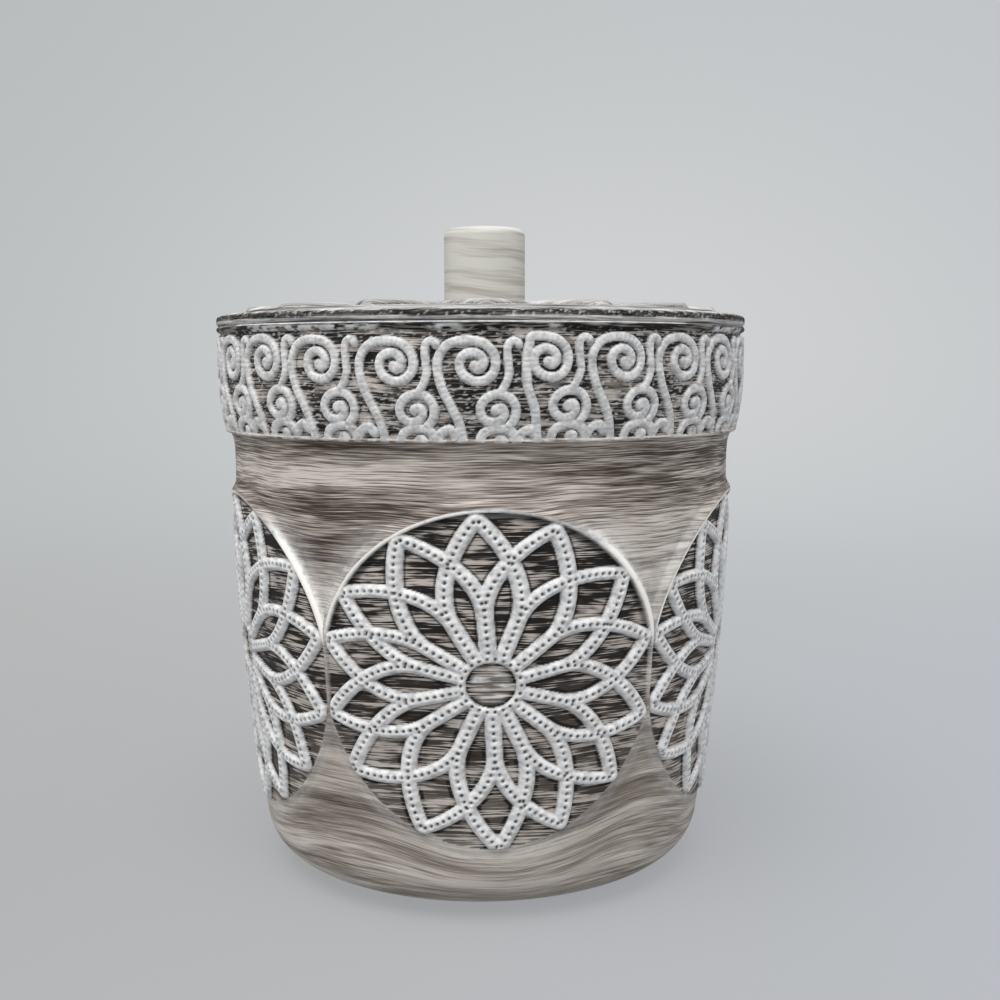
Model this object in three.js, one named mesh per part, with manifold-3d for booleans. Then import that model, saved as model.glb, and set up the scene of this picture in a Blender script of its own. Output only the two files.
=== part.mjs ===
// Storage jar with a lift-off lid: a cast jar with a scroll collar and five round wall medallions,
// a cast lid with a locating flange, a turned knob held by a screw and washer, and a rubber base pad.
// Millimetres, +Z up. The origin is on the ground under the middle of the jar, and the first
// medallion faces -Y.
import * as THREE from 'three';
import { mergeVertices } from 'three/addons/utils/BufferGeometryUtils.js';
import Module from 'manifold-3d';

// Base pad
const PAD_INSET = 3.4;
const PAD_THICKNESS = 1.5;

// Jar, outside
const JAR_HEIGHT = 103.75;
const RIM_RADIUS = 52;
const RIM_ROUND = 0.5;
const COLLAR_HEIGHT = 20;
const COLLAR_STRAIGHT = 8.5;
const COLLAR_TAPER = 1.3;
const COLLAR_LIP_ROUND = 0.6;
const COLLAR_COVE_HEIGHT = 5.5;
const COLLAR_PROUD = 3.1;
const WALL_FLARE = 5.35;
const WALL_BELLY_SHARE = 0.55;
const FOOT_ROUND = 9.15;

// Jar, inside
const RIM_WIDTH = 7.5;
const MOUTH_ROUND = 1;
const FOOT_WALL_THICKNESS = 5.05;
const FLOOR_THICKNESS = 6;
const FLOOR_ROUND = 6;

// Wall medallions
const MEDALLION_COUNT = 5;
const MEDALLION_RADIUS = 30.3;
const MEDALLION_CENTRE_HEIGHT = 42.6;
const MEDALLION_PROUD = 1.1;
const MEDALLION_ROOT = 2;
const MEDALLION_RIM_WIDTH = 1.6;
const STAMP_START_SHARE = 0.5;
const STAMP_END_SHARE = 1.5;
const WINDOW_FLOOR_PROUD = 0.05;

// Rosettes: bearings clockwise from the top, and the petals' lengths from the middle to the tip
const PETAL_BEARINGS = [-5, 22, 52, 77, 104, 128, 153, 177, 206, 238, 258, 283, 300, 328];
const PETAL_LENGTHS = [28.6, 28.7, 29.9, 29.7, 29.7, 29.2, 28.8, 29.6, 29, 30.4, 30.2, 30.2, 30.2, 29.4];
const RIBBON_WIDTH = 2.6;
const SPOKE_SHARE = 0.44;
const CROSSING_SHARE = 0.74;
const HUB_RADIUS = 4.3;
const LID_PETAL_COUNT = 14;
const LID_RIBBON_WIDTH = 3.4;
const LID_RELIEF = 1.1;

// Lid
const LID_EDGE_THICKNESS = 1.5;
const LID_EDGE_CHAMFER = 0.45;
const LID_SHOULDER_WIDTH = 1.6;
const LID_SHOULDER_RISE = 0.7;
const LID_SHOULDER_SHARE = 0.25;
const LID_LEDGE_WIDTH = 4;
const LID_CARVING_SLOPE = 0.25;
const LID_CARVING_HEIGHT = 1.4;
const LID_CORE_DEPTH = 1.7;
const FLANGE_DEPTH = 7.2;
const FLANGE_WIDTH = 4;
const FLANGE_CHAMFER = 0.8;
const FLANGE_CLEARANCE = 0.4;

// Knob, screw and washer
const KNOB_RADIUS = 8.05;
const KNOB_HEIGHT = 15.7;
const KNOB_TOP_ROUND = 1.5;
const KNOB_FOOT_CHAMFER = 0.3;
const KNOB_BORE_SPARE = 1.5;
const SCREW_SHANK_RADIUS = 2;
const SCREW_GRIP_IN_KNOB = 9.5;
const SCREW_POINT = 1;
const SCREW_POINT_SHARE = 0.5;
const SCREW_HOLE_CLEARANCE = 0.3;
const SCREW_HEAD_RADIUS = 3.9;
const SCREW_HEAD_HEIGHT = 2.3;
const SCREW_HEAD_ROUND = 1.1;
const SCREW_SLOT_WIDTH = 1;
const SCREW_SLOT_DEPTH = 1.1;
const WASHER_RADIUS = 5.5;
const WASHER_THICKNESS = 0.8;

// How finely round shapes are cut, and how far a cutter runs past what it cuts
const JAR_SIDES = 50;
const SMALL_SIDES = 40;
const ROUND_STEPS = 4;
const BEND_STEPS = 3;
const CORNER_STEPS = 3;
const LIP_STEPS = 2;
const WALL_STEPS = 4;
const MEDALLION_STEPS = 30;
const HUB_STEPS = 10;
const CUT_OVERRUN = 5;

// Radii and heights that follow from the sizes above
const COLLAR_LIP_RADIUS = RIM_RADIUS - COLLAR_TAPER;
const WALL_TOP_RADIUS = RIM_RADIUS - COLLAR_PROUD;
const WALL_FOOT_RADIUS = WALL_TOP_RADIUS - WALL_FLARE;
const MEDALLION_FACE_RADIUS = (WALL_TOP_RADIUS + WALL_FOOT_RADIUS) / 2 + MEDALLION_PROUD;
const MOUTH_RADIUS = RIM_RADIUS - RIM_WIDTH;
const FLOOR_RADIUS = WALL_FOOT_RADIUS - FOOT_WALL_THICKNESS;
const PAD_RADIUS = WALL_FOOT_RADIUS - FOOT_ROUND - PAD_INSET;
const LID_SHOULDER_RADIUS = RIM_RADIUS - LID_SHOULDER_WIDTH;
const LID_CARVING_RADIUS = LID_SHOULDER_RADIUS - LID_LEDGE_WIDTH;
const SCREW_HOLE_RADIUS = SCREW_SHANK_RADIUS + SCREW_HOLE_CLEARANCE;
const FOOT_Z = PAD_THICKNESS;
const RIM_Z = FOOT_Z + JAR_HEIGHT;
const FLOOR_Z = FOOT_Z + FLOOR_THICKNESS;
const COLLAR_LIP_Z = RIM_Z - COLLAR_HEIGHT;
const WALL_TOP_Z = COLLAR_LIP_Z - COLLAR_COVE_HEIGHT;
const MEDALLION_Z = FOOT_Z + MEDALLION_CENTRE_HEIGHT;
const LID_SHOULDER_Z = RIM_Z + LID_EDGE_THICKNESS;
const LID_CARVING_Z = LID_SHOULDER_Z + LID_SHOULDER_RISE + LID_CARVING_SLOPE;
const LID_TOP_Z = LID_CARVING_Z + LID_CARVING_HEIGHT;
const LID_CORE_Z = RIM_Z - LID_CORE_DEPTH;
const FLANGE_Z = RIM_Z - FLANGE_DEPTH;
const WASHER_Z = LID_CORE_Z - WASHER_THICKNESS;
const SCREW_HEAD_Z = WASHER_Z - SCREW_HEAD_HEIGHT;
const SCREW_TIP_Z = LID_TOP_Z + SCREW_GRIP_IN_KNOB;
const KNOB_TOP_Z = LID_TOP_Z + KNOB_HEIGHT;

const wasm = await Module();
wasm.setup();

const point = (radius, z) => new THREE.Vector2(radius, z);

// The points of an arc, by angle from the +radius direction.
function arc(centre, radius, from, to, steps = ROUND_STEPS) {
  return Array.from({ length: steps + 1 }, (_, i) => {
    const angle = from + ((to - from) * i) / steps;
    return point(centre.x + radius * Math.cos(angle), centre.y + radius * Math.sin(angle));
  });
}

// The points of a bend from start to end that is drawn towards corner.
function bend(start, corner, end, steps = ROUND_STEPS) {
  return new THREE.QuadraticBezierCurve(start, corner, end).getPoints(steps);
}

// Drops profile points that lie on their neighbour.
function distinct(points) {
  const nearest = Number.EPSILON * RIM_RADIUS;
  return points.filter((p, i) => i === 0 || p.distanceTo(points[i - 1]) > nearest);
}

// A body of revolution about Z, as a closed mesh without collapsed triangles.
function revolve(profile, sides) {
  const geometry = new THREE.LatheGeometry(distinct(profile), sides);
  geometry.rotateX(Math.PI / 2);
  return closed(geometry);
}

// Merges shared corners and drops the triangles that then have no area.
function closed(geometry) {
  geometry.deleteAttribute('normal');
  geometry.deleteAttribute('uv');
  const merged = mergeVertices(geometry);
  const corners = [];
  for (let i = 0; i < merged.index.count; i += 3) {
    const [a, b, c] = [0, 1, 2].map((k) => merged.index.getX(i + k));
    if (a !== b && b !== c && c !== a) corners.push(a, b, c);
  }
  merged.setIndex(corners);
  return merged;
}

function toSolid(geometry) {
  return new wasm.Manifold(new wasm.Mesh({
    numProp: 3,
    vertProperties: Float32Array.from(geometry.attributes.position.array),
    triVerts: Uint32Array.from(geometry.index.array),
  }));
}

function fromSolid(solid) {
  const mesh = solid.getMesh();
  const geometry = new THREE.BufferGeometry();
  geometry.setAttribute('position', new THREE.BufferAttribute(mesh.vertProperties, 3));
  geometry.setIndex(new THREE.BufferAttribute(mesh.triVerts, 1));
  return geometry;
}

// The wall's outside from the round of the foot up to the cove under the collar.
function wallCurve(offset = 0) {
  const roundCentre = point(WALL_FOOT_RADIUS - FOOT_ROUND, FOOT_Z + FOOT_ROUND);
  const bellyRise = WALL_BELLY_SHARE * (WALL_TOP_Z - roundCentre.y);
  const flare = Math.atan2(WALL_TOP_RADIUS - WALL_FOOT_RADIUS, bellyRise);
  const radius = FOOT_ROUND + offset;
  const start = point(
    roundCentre.x + radius * Math.cos(flare),
    roundCentre.y - radius * Math.sin(flare),
  );
  const end = point(WALL_TOP_RADIUS + offset, WALL_TOP_Z);
  const corner = point(end.x, start.y + (end.x - start.x) / Math.tan(flare));
  return { roundCentre, flare, points: bend(start, corner, end, WALL_STEPS) };
}

function jarOutside() {
  const { roundCentre, flare, points } = wallCurve();
  const lip = point(COLLAR_LIP_RADIUS, COLLAR_LIP_Z + COLLAR_LIP_ROUND);
  const lipUnder = point(COLLAR_LIP_RADIUS - COLLAR_LIP_ROUND, COLLAR_LIP_Z);
  const straightEnd = point(RIM_RADIUS, RIM_Z - COLLAR_STRAIGHT);
  const rimCentre = point(RIM_RADIUS - RIM_ROUND, RIM_Z - RIM_ROUND);
  return [
    point(0, FOOT_Z),
    ...arc(roundCentre, FOOT_ROUND, -Math.PI / 2, -flare),
    ...points,
    ...bend(point(WALL_TOP_RADIUS, WALL_TOP_Z), point(WALL_TOP_RADIUS, lipUnder.y), lipUnder),
    ...bend(lipUnder, point(lip.x, lipUnder.y), lip, LIP_STEPS),
    ...bend(lip, point(RIM_RADIUS, (lip.y + straightEnd.y) / 2), straightEnd, BEND_STEPS),
    ...arc(rimCentre, RIM_ROUND, 0, Math.PI / 2, CORNER_STEPS),
    point(0, RIM_Z),
  ];
}

// The radius of the straight tapered bore at a height.
function boreRadius(z) {
  return FLOOR_RADIUS + ((MOUTH_RADIUS - FLOOR_RADIUS) * (z - FLOOR_Z)) / (RIM_Z - FLOOR_Z);
}

function jarCavity() {
  const taper = Math.atan2(MOUTH_RADIUS - FLOOR_RADIUS, RIM_Z - FLOOR_Z);
  const roundZ = FLOOR_Z + FLOOR_ROUND;
  const roundCentre = point(boreRadius(roundZ) - FLOOR_ROUND / Math.cos(taper), roundZ);
  const mouthStart = point(boreRadius(RIM_Z - MOUTH_ROUND), RIM_Z - MOUTH_ROUND);
  const mouthEnd = point(MOUTH_RADIUS + MOUTH_ROUND, RIM_Z);
  return [
    point(0, FLOOR_Z),
    ...arc(roundCentre, FLOOR_ROUND, -Math.PI / 2, -taper),
    ...bend(mouthStart, point(MOUTH_RADIUS, RIM_Z), mouthEnd, BEND_STEPS),
    point(mouthEnd.x, RIM_Z + CUT_OVERRUN),
    point(0, RIM_Z + CUT_OVERRUN),
  ];
}

// A band of revolution that lies on the wall and has its roots in it.
function medallionBand() {
  const outside = wallCurve(MEDALLION_PROUD).points;
  const inside = wallCurve(-MEDALLION_ROOT).points.reverse();
  return revolve([...inside, ...outside, inside[0]], JAR_SIDES);
}

// The place in a rosette at a bearing clockwise from the top, in degrees.
function rosettePoint(radius, bearing) {
  const angle = THREE.MathUtils.degToRad(bearing);
  return point(radius * Math.sin(angle), radius * Math.cos(angle));
}

// A flat outline drawn in on all sides by the same width.
function drawnIn(corners, width) {
  const inward = corners.map((corner, i) => {
    const along = corners[(i + 1) % corners.length].clone().sub(corner).normalize();
    return point(along.y, -along.x);
  });
  return corners.map((corner, i) => {
    const before = inward[(i + corners.length - 1) % corners.length];
    const both = before.clone().add(inward[i]);
    return corner.clone().addScaledVector(both, width / (1 + before.dot(inward[i])));
  });
}

// The windows between the ribbons of a rosette. From each petal's tip a ribbon crosses that of the next
// petal and ends on the next petal's spoke, so that each petal has a kite, a lens and an outer window.
function windows(bearings, lengths, rimRadius, ribbonWidth) {
  const petals = bearings.map((bearing, i) => {
    const next = (i + 1) % bearings.length;
    const halfTurn = THREE.MathUtils.euclideanModulo(bearings[next] - bearing, 360) / 2;
    const crossingReach = ((lengths[i] + lengths[next]) / 2) * CROSSING_SHARE;
    return {
      tip: rosettePoint(lengths[i], bearing),
      spokeEnd: rosettePoint(lengths[i] * SPOKE_SHARE, bearing),
      rim: rosettePoint(rimRadius, bearing),
      crossing: rosettePoint(crossingReach, bearing + halfTurn),
      rimBetween: rosettePoint(rimRadius, bearing + halfTurn),
    };
  });
  return petals.flatMap((petal, i) => {
    const before = petals[(i + petals.length - 1) % petals.length];
    const next = petals[(i + 1) % petals.length];
    const outer = [petal.crossing, petal.rim, petal.rimBetween, next.rim];
    const kite = [petal.spokeEnd, before.crossing, petal.tip, petal.crossing];
    const lens = [point(0, 0), petal.spokeEnd, petal.crossing, next.spokeEnd];
    return [outer, kite, lens].map((corners) => drawnIn(corners, ribbonWidth / 2));
  });
}

function circle(radius, steps) {
  return arc(point(0, 0), radius, 0, 2 * Math.PI, steps).slice(1);
}

function extruded(outline, depth) {
  return new THREE.ExtrudeGeometry(new THREE.Shape(outline), { depth, bevelEnabled: false });
}

// A round stamp wrapped on the wall: each point keeps its angle while it runs outwards.
function discStamp() {
  const start = MEDALLION_FACE_RADIUS * STAMP_START_SHARE;
  const depth = MEDALLION_FACE_RADIUS * STAMP_END_SHARE - start;
  const geometry = extruded(circle(MEDALLION_RADIUS, MEDALLION_STEPS), depth);
  const places = geometry.attributes.position;
  for (let i = 0; i < places.count; i += 1) {
    const angle = places.getX(i) / MEDALLION_FACE_RADIUS;
    const radius = start + places.getZ(i);
    const z = MEDALLION_Z + places.getY(i);
    places.setXYZ(i, radius * Math.sin(angle), -radius * Math.cos(angle), z);
  }
  return closed(geometry);
}

// The wall's radius at a height, and how far it leans out there.
function wallAt(z) {
  const { points } = wallCurve();
  const next = points.findIndex((p) => p.y > z);
  const [low, high] = [points[next - 1], points[next]];
  const share = (z - low.y) / (high.y - low.y);
  return {
    radius: THREE.MathUtils.lerp(low.x, high.x, share),
    lean: Math.atan2(high.x - low.x, high.y - low.y),
  };
}

// A window's cutter: its corners are wrapped round the wall, and its floor is flat and lies along the wall.
function windowCutter(corners) {
  const middle = corners
    .reduce((sum, corner) => sum.add(corner), point(0, 0))
    .divideScalar(corners.length);
  const bearing = middle.x / MEDALLION_FACE_RADIUS;
  const { radius, lean } = wallAt(MEDALLION_Z + middle.y);
  const outline = corners.map(({ x, y }) => {
    const across = MEDALLION_FACE_RADIUS * Math.sin(x / MEDALLION_FACE_RADIUS - bearing);
    return point(across, (y - middle.y) / Math.cos(lean));
  });
  const geometry = extruded(outline, CUT_OVERRUN);
  geometry.translate(0, 0, WINDOW_FLOOR_PROUD);
  geometry.rotateX(Math.PI / 2 + lean);
  geometry.translate(0, -radius, MEDALLION_Z + middle.y);
  geometry.rotateZ(bearing);
  return closed(geometry);
}

function medallion() {
  const rimRadius = MEDALLION_RADIUS - MEDALLION_RIM_WIDTH + RIBBON_WIDTH / 2;
  const cuts = [
    circle(HUB_RADIUS, HUB_STEPS),
    ...windows(PETAL_BEARINGS, PETAL_LENGTHS, rimRadius, RIBBON_WIDTH),
  ];
  const plate = toSolid(medallionBand()).intersect(toSolid(discStamp()));
  return cuts.reduce((left, corners) => left.subtract(toSolid(windowCutter(corners))), plate);
}

function jarBody() {
  const rosette = medallion();
  let solid = toSolid(revolve(jarOutside(), JAR_SIDES));
  for (let i = 0; i < MEDALLION_COUNT; i += 1) {
    solid = solid.add(rosette.rotate([0, 0, (360 * i) / MEDALLION_COUNT]));
  }
  return fromSolid(solid.subtract(toSolid(revolve(jarCavity(), JAR_SIDES))));
}

function basePad() {
  return revolve([
    point(0, 0),
    point(PAD_RADIUS, 0),
    point(PAD_RADIUS, FOOT_Z),
    point(0, FOOT_Z),
  ], JAR_SIDES);
}

// The lid lies on the rim with the flat ring between its flange and its chamfered edge.
function lidPlate() {
  const flangeRadius = boreRadius(FLANGE_Z) - FLANGE_CLEARANCE;
  const flangeInside = flangeRadius - FLANGE_WIDTH;
  const shoulderTop = LID_SHOULDER_Z + LID_SHOULDER_RISE;
  return revolve([
    point(SCREW_HOLE_RADIUS, LID_CORE_Z),
    point(flangeInside, LID_CORE_Z),
    point(flangeInside, FLANGE_Z),
    point(flangeRadius - FLANGE_CHAMFER, FLANGE_Z),
    point(flangeRadius, FLANGE_Z + FLANGE_CHAMFER),
    point(flangeRadius, RIM_Z),
    point(RIM_RADIUS - LID_EDGE_CHAMFER, RIM_Z),
    point(RIM_RADIUS, RIM_Z + LID_EDGE_CHAMFER),
    ...bend(
      point(RIM_RADIUS, LID_SHOULDER_Z),
      point(RIM_RADIUS - LID_SHOULDER_WIDTH * LID_SHOULDER_SHARE, shoulderTop),
      point(LID_SHOULDER_RADIUS, shoulderTop),
      CORNER_STEPS,
    ),
    point(LID_CARVING_RADIUS, LID_CARVING_Z),
    point(LID_CARVING_RADIUS, LID_TOP_Z),
    point(SCREW_HOLE_RADIUS, LID_TOP_Z),
    point(SCREW_HOLE_RADIUS, LID_CORE_Z),
  ], JAR_SIDES);
}

// The lid's plate with the windows of its rosette cut down to the ground, open at the edge.
function lid() {
  const bearings = Array.from({ length: LID_PETAL_COUNT }, (_, i) => (360 * i) / LID_PETAL_COUNT);
  const lengths = bearings.map(() => LID_CARVING_RADIUS);
  const cuts = windows(bearings, lengths, LID_CARVING_RADIUS + CUT_OVERRUN, LID_RIBBON_WIDTH);
  return fromSolid(cuts.reduce((left, corners) => {
    const cutter = extruded(corners, LID_RELIEF + CUT_OVERRUN);
    cutter.translate(0, 0, LID_TOP_Z - LID_RELIEF);
    return left.subtract(toSolid(closed(cutter)));
  }, toSolid(lidPlate())));
}

function knob() {
  const boreEnd = SCREW_TIP_Z + KNOB_BORE_SPARE;
  const topCentre = point(KNOB_RADIUS - KNOB_TOP_ROUND, KNOB_TOP_Z - KNOB_TOP_ROUND);
  return revolve([
    point(0, boreEnd),
    point(SCREW_HOLE_RADIUS, boreEnd),
    point(SCREW_HOLE_RADIUS, LID_TOP_Z),
    point(KNOB_RADIUS - KNOB_FOOT_CHAMFER, LID_TOP_Z),
    point(KNOB_RADIUS, LID_TOP_Z + KNOB_FOOT_CHAMFER),
    ...arc(topCentre, KNOB_TOP_ROUND, 0, Math.PI / 2),
    point(0, KNOB_TOP_Z),
  ], SMALL_SIDES);
}

function knobWasher() {
  return revolve([
    point(SCREW_HOLE_RADIUS, WASHER_Z),
    point(WASHER_RADIUS, WASHER_Z),
    point(WASHER_RADIUS, LID_CORE_Z),
    point(SCREW_HOLE_RADIUS, LID_CORE_Z),
    point(SCREW_HOLE_RADIUS, WASHER_Z),
  ], SMALL_SIDES);
}

function knobScrew() {
  const headCentre = point(SCREW_HEAD_RADIUS - SCREW_HEAD_ROUND, SCREW_HEAD_Z + SCREW_HEAD_ROUND);
  const screw = toSolid(revolve([
    point(0, SCREW_HEAD_Z),
    ...arc(headCentre, SCREW_HEAD_ROUND, -Math.PI / 2, 0, CORNER_STEPS),
    point(SCREW_HEAD_RADIUS, WASHER_Z),
    point(SCREW_SHANK_RADIUS, WASHER_Z),
    point(SCREW_SHANK_RADIUS, SCREW_TIP_Z - SCREW_POINT),
    point(SCREW_SHANK_RADIUS * SCREW_POINT_SHARE, SCREW_TIP_Z),
    point(0, SCREW_TIP_Z),
  ], SMALL_SIDES));
  const slotLength = 2 * (SCREW_HEAD_RADIUS + CUT_OVERRUN);
  const slotDepth = SCREW_SLOT_DEPTH + CUT_OVERRUN;
  const slot = new THREE.BoxGeometry(slotLength, SCREW_SLOT_WIDTH, slotDepth);
  slot.translate(0, 0, SCREW_HEAD_Z + SCREW_SLOT_DEPTH - slotDepth / 2);
  return fromSolid(screw.subtract(toSolid(closed(slot))));
}

// Finishes, from the photograph: dark resin under a dry-brushed whitewash, and a paler knob.
const whitewashedResin = new THREE.MeshStandardMaterial({ color: 0x9a938c, roughness: 0.7 });
const whitewashedLid = new THREE.MeshStandardMaterial({ color: 0x8f8983, roughness: 0.7 });
const paleKnob = new THREE.MeshStandardMaterial({ color: 0xc8c6bc, roughness: 0.6 });
const darkRubber = new THREE.MeshStandardMaterial({ color: 0x2e2d2c, roughness: 0.95 });
const zincSteel = new THREE.MeshStandardMaterial({ color: 0xb9bbbd, roughness: 0.35, metalness: 1 });

const jar = new THREE.Group();

function place(name, geometry, material) {
  const mesh = new THREE.Mesh(geometry, material.clone());
  mesh.name = name;
  jar.add(mesh);
}

place('jar_body', jarBody(), whitewashedResin);
place('base_pad', basePad(), darkRubber);
place('lid', lid(), whitewashedLid);
place('knob', knob(), paleKnob);
place('knob_washer', knobWasher(), zincSteel);
place('knob_screw', knobScrew(), zincSteel);

export default jar;
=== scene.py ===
"""Looks of the carved storage jar: relief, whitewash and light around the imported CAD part."""

import math
from types import SimpleNamespace

import bmesh
import bpy
import numpy as np
from mathutils import Matrix, Vector, noise
from mathutils.kdtree import KDTree


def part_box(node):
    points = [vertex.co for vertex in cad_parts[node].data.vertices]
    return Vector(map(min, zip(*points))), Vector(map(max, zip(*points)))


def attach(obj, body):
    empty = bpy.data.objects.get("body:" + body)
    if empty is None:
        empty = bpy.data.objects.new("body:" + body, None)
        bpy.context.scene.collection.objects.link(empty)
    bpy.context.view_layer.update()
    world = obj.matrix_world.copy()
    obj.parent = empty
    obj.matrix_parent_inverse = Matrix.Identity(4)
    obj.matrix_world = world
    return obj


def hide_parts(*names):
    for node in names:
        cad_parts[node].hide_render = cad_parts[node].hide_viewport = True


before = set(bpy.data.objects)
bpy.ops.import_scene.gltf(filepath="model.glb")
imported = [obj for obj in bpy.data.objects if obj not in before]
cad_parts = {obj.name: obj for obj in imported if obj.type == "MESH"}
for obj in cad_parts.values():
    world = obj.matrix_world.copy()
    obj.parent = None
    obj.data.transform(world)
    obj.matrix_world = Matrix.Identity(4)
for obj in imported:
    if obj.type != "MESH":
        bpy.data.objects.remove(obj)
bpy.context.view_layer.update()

# Sizes are in millimetres, and bearings run from the front, which faces -Y, to the right. A name that ends in
# SHARE is a factor on another size.
MM = 0.001


def in_millimetres(box):
    """The lowest and highest corner of a box that is in metres."""
    return [np.array(corner) / MM for corner in box]


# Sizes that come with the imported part
jar_low, jar_high = in_millimetres(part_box("jar_body"))
lid_low, lid_high = in_millimetres(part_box("lid"))
knob_low, knob_high = in_millimetres(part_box("knob"))
pad_low, pad_high = in_millimetres(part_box("base_pad"))
screw_high = in_millimetres(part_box("knob_screw"))[1]
washer_low, washer_high = in_millimetres(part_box("knob_washer"))
RIM_RADIUS = jar_high[0]
RIM_Z = jar_high[2]
FOOT_Z = jar_low[2]
LID_TOP_Z = lid_high[2]
FLANGE_Z = lid_low[2]

# Jar, outside
RIM_ROUND = 0.5
COLLAR_HEIGHT = 20
COLLAR_STRAIGHT = 8.5
COLLAR_TAPER = 1.3
COLLAR_LIP_ROUND = 0.6
COLLAR_COVE_HEIGHT = 5.5
COLLAR_PROUD = 3.1
WALL_FLARE = 5.35
WALL_BELLY_SHARE = 0.55
FOOT_ROUND = 9.15
COLLAR_LIP_RADIUS = RIM_RADIUS - COLLAR_TAPER
COLLAR_LIP_Z = RIM_Z - COLLAR_HEIGHT
WALL_TOP_RADIUS = RIM_RADIUS - COLLAR_PROUD
WALL_TOP_Z = COLLAR_LIP_Z - COLLAR_COVE_HEIGHT
WALL_FOOT_RADIUS = WALL_TOP_RADIUS - WALL_FLARE
WALL_MEAN_RADIUS = 47.3
FOOT_FLAT_RADIUS = WALL_FOOT_RADIUS - FOOT_ROUND

# Jar, inside, and how deep the wall panels and the collar are let into its core
RIM_WIDTH = 7.5
MOUTH_ROUND = 1
FOOT_WALL_THICKNESS = 5.05
FLOOR_THICKNESS = 6
FLOOR_ROUND = 6
MOUTH_RADIUS = RIM_RADIUS - RIM_WIDTH
FLOOR_RADIUS = WALL_FOOT_RADIUS - FOOT_WALL_THICKNESS
FLOOR_Z = FOOT_Z + FLOOR_THICKNESS
CORE_DEPTH = 2.2
PANEL_DEPTH = 3
RIM_JOIN_RADIUS = 47
RIM_JOIN_DEPTH = 1
RIM_JOIN_LAP = 0.4
RIM_JOIN_LAP_DEPTH = 0.6

# Medallions
MEDALLION_COUNT = 5
MEDALLION_Z = 44.1
MEDALLION_HALF_WIDTH = 30.8
MEDALLION_HALF_HEIGHT = 29.8
MEDALLION_MEAN_RADIUS = (MEDALLION_HALF_WIDTH + MEDALLION_HALF_HEIGHT) / 2
WRAP_RADIUS = 48.36
HALF_PANEL = math.pi / MEDALLION_COUNT * WRAP_RADIUS
FACET_RISE = 0.8
LOW_FLOOR_RISE = 0.4
LOW_RIM_HEIGHT = 0.5
HIGH_RIM_HEIGHT = 0.95
LOW_RIM_RUN = 3.4
HIGH_RIM_RUN = 2.8
RIM_CREST = 0.3
RIM_WALL = 0.45
BORDER_RIDGE_HEIGHT = 0.65
RELIEF = 0.9
RIBBON_HALF_WIDTH = 1.6
RIBBON_HALF_HEIGHT = 1.24
PIT_PITCH = 1.26
PIT_RADIUS = 0.36
PIT_DEPTH = 0.5
BEAD_HEIGHT = 0.05
HUB_RING_WIDE = 5.2
HUB_RING_HIGH = 4.65
HUB_RING_HALF_WIDTH = 0.8
HUB_PIT_PITCH = 1.42
HUB_PIT_REACH_SHARE = 1.17
PETAL_BEARINGS = (-5, 22, 52, 77, 104, 128, 153, 177, 206, 238, 258, 283, 300, 328)
PETAL_LENGTHS = (28.6, 28.7, 29.9, 29.7, 29.7, 29.2, 28.8, 29.6, 29, 30.4, 30.2, 30.2, 30.2, 29.4)
SPOKE_SHARE = 0.44
SWING_LEAD_SHARE = 0.154
FLOW_DIP = 2.4

# Marks on and round a medallion: where each starts and is full, and where it fades and ends if it does. They
# run out from its edge or, where named ARC, clockwise from its top in degrees.
# Crests: whitewash brightened into a painted highlight. Glow: a painted highlight. Rim shade: a painted
# shadow.
THIN_CREST = (-0.3, -0.05, 0.25, 0.6)
THIN_CREST_ARC = (-82, -70, 40, 62)
THIN_CREST_DIM_ARC = (-12, 12)
BROAD_CREST = (-0.3, 0, 0.8, 2.2)
BROAD_CREST_ARC = (22, 45, 74, 90)
GLOW_HIGHLIGHT = (-0.1, 0.3, 0.3, 7)
GLOW_HIGHLIGHT_ARC = (25, 50)
FILLET = (-0.3, 0.3, 1.2, 3)
RIM_SHADE = (-3.6, -0.6)
RIDGE_END = (1.2, 0)

# Scroll band
SCROLL_COUNT = 24
SCROLL_JOIN = 11
SCROLL_START = 26.3
SCROLL_PITCH = 15.055
SCROLL_NUDGES = {20: -0.5, 21: -0.7}
SCROLL_WRAP_RADIUS = 51.48
SCROLL_Z = 99.3
SCROLL_SAG = 0.7
SCROLL_DEPTH = 0.8
STROKE_HALF_WIDTH = 0.85
HOOK_HALF_WIDTH = 0.74
SMALL_SCROLL_HALF_WIDTH = 0.84
SEED_HALF_WIDTH = 1.1
CURL_HALF_WIDTH = 1.05
STROKE_NOTCH_PITCH = 0.86
STROKE_NOTCH_SHARE = 0.16

# Heights on the collar where a mark starts and is full
SUNK_FROM_Z = COLLAR_LIP_Z + np.array((0.45, 1))
SUNK_TO_Z = RIM_Z - np.array((1.5, 0.7))
LIP_LINE_Z = COLLAR_LIP_Z + np.array((0.75, 0.5))
RIM_LINE_Z = RIM_Z - np.array((0.3, 0.2))
RIM_STRIP_Z = RIM_Z - np.array((1.9, 1.5))
FLAKES_FROM_Z = RIM_Z - np.array((1.5, 1.2))
FLAKES_TO_Z = RIM_Z - np.array((0.4, 0.65))

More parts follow.
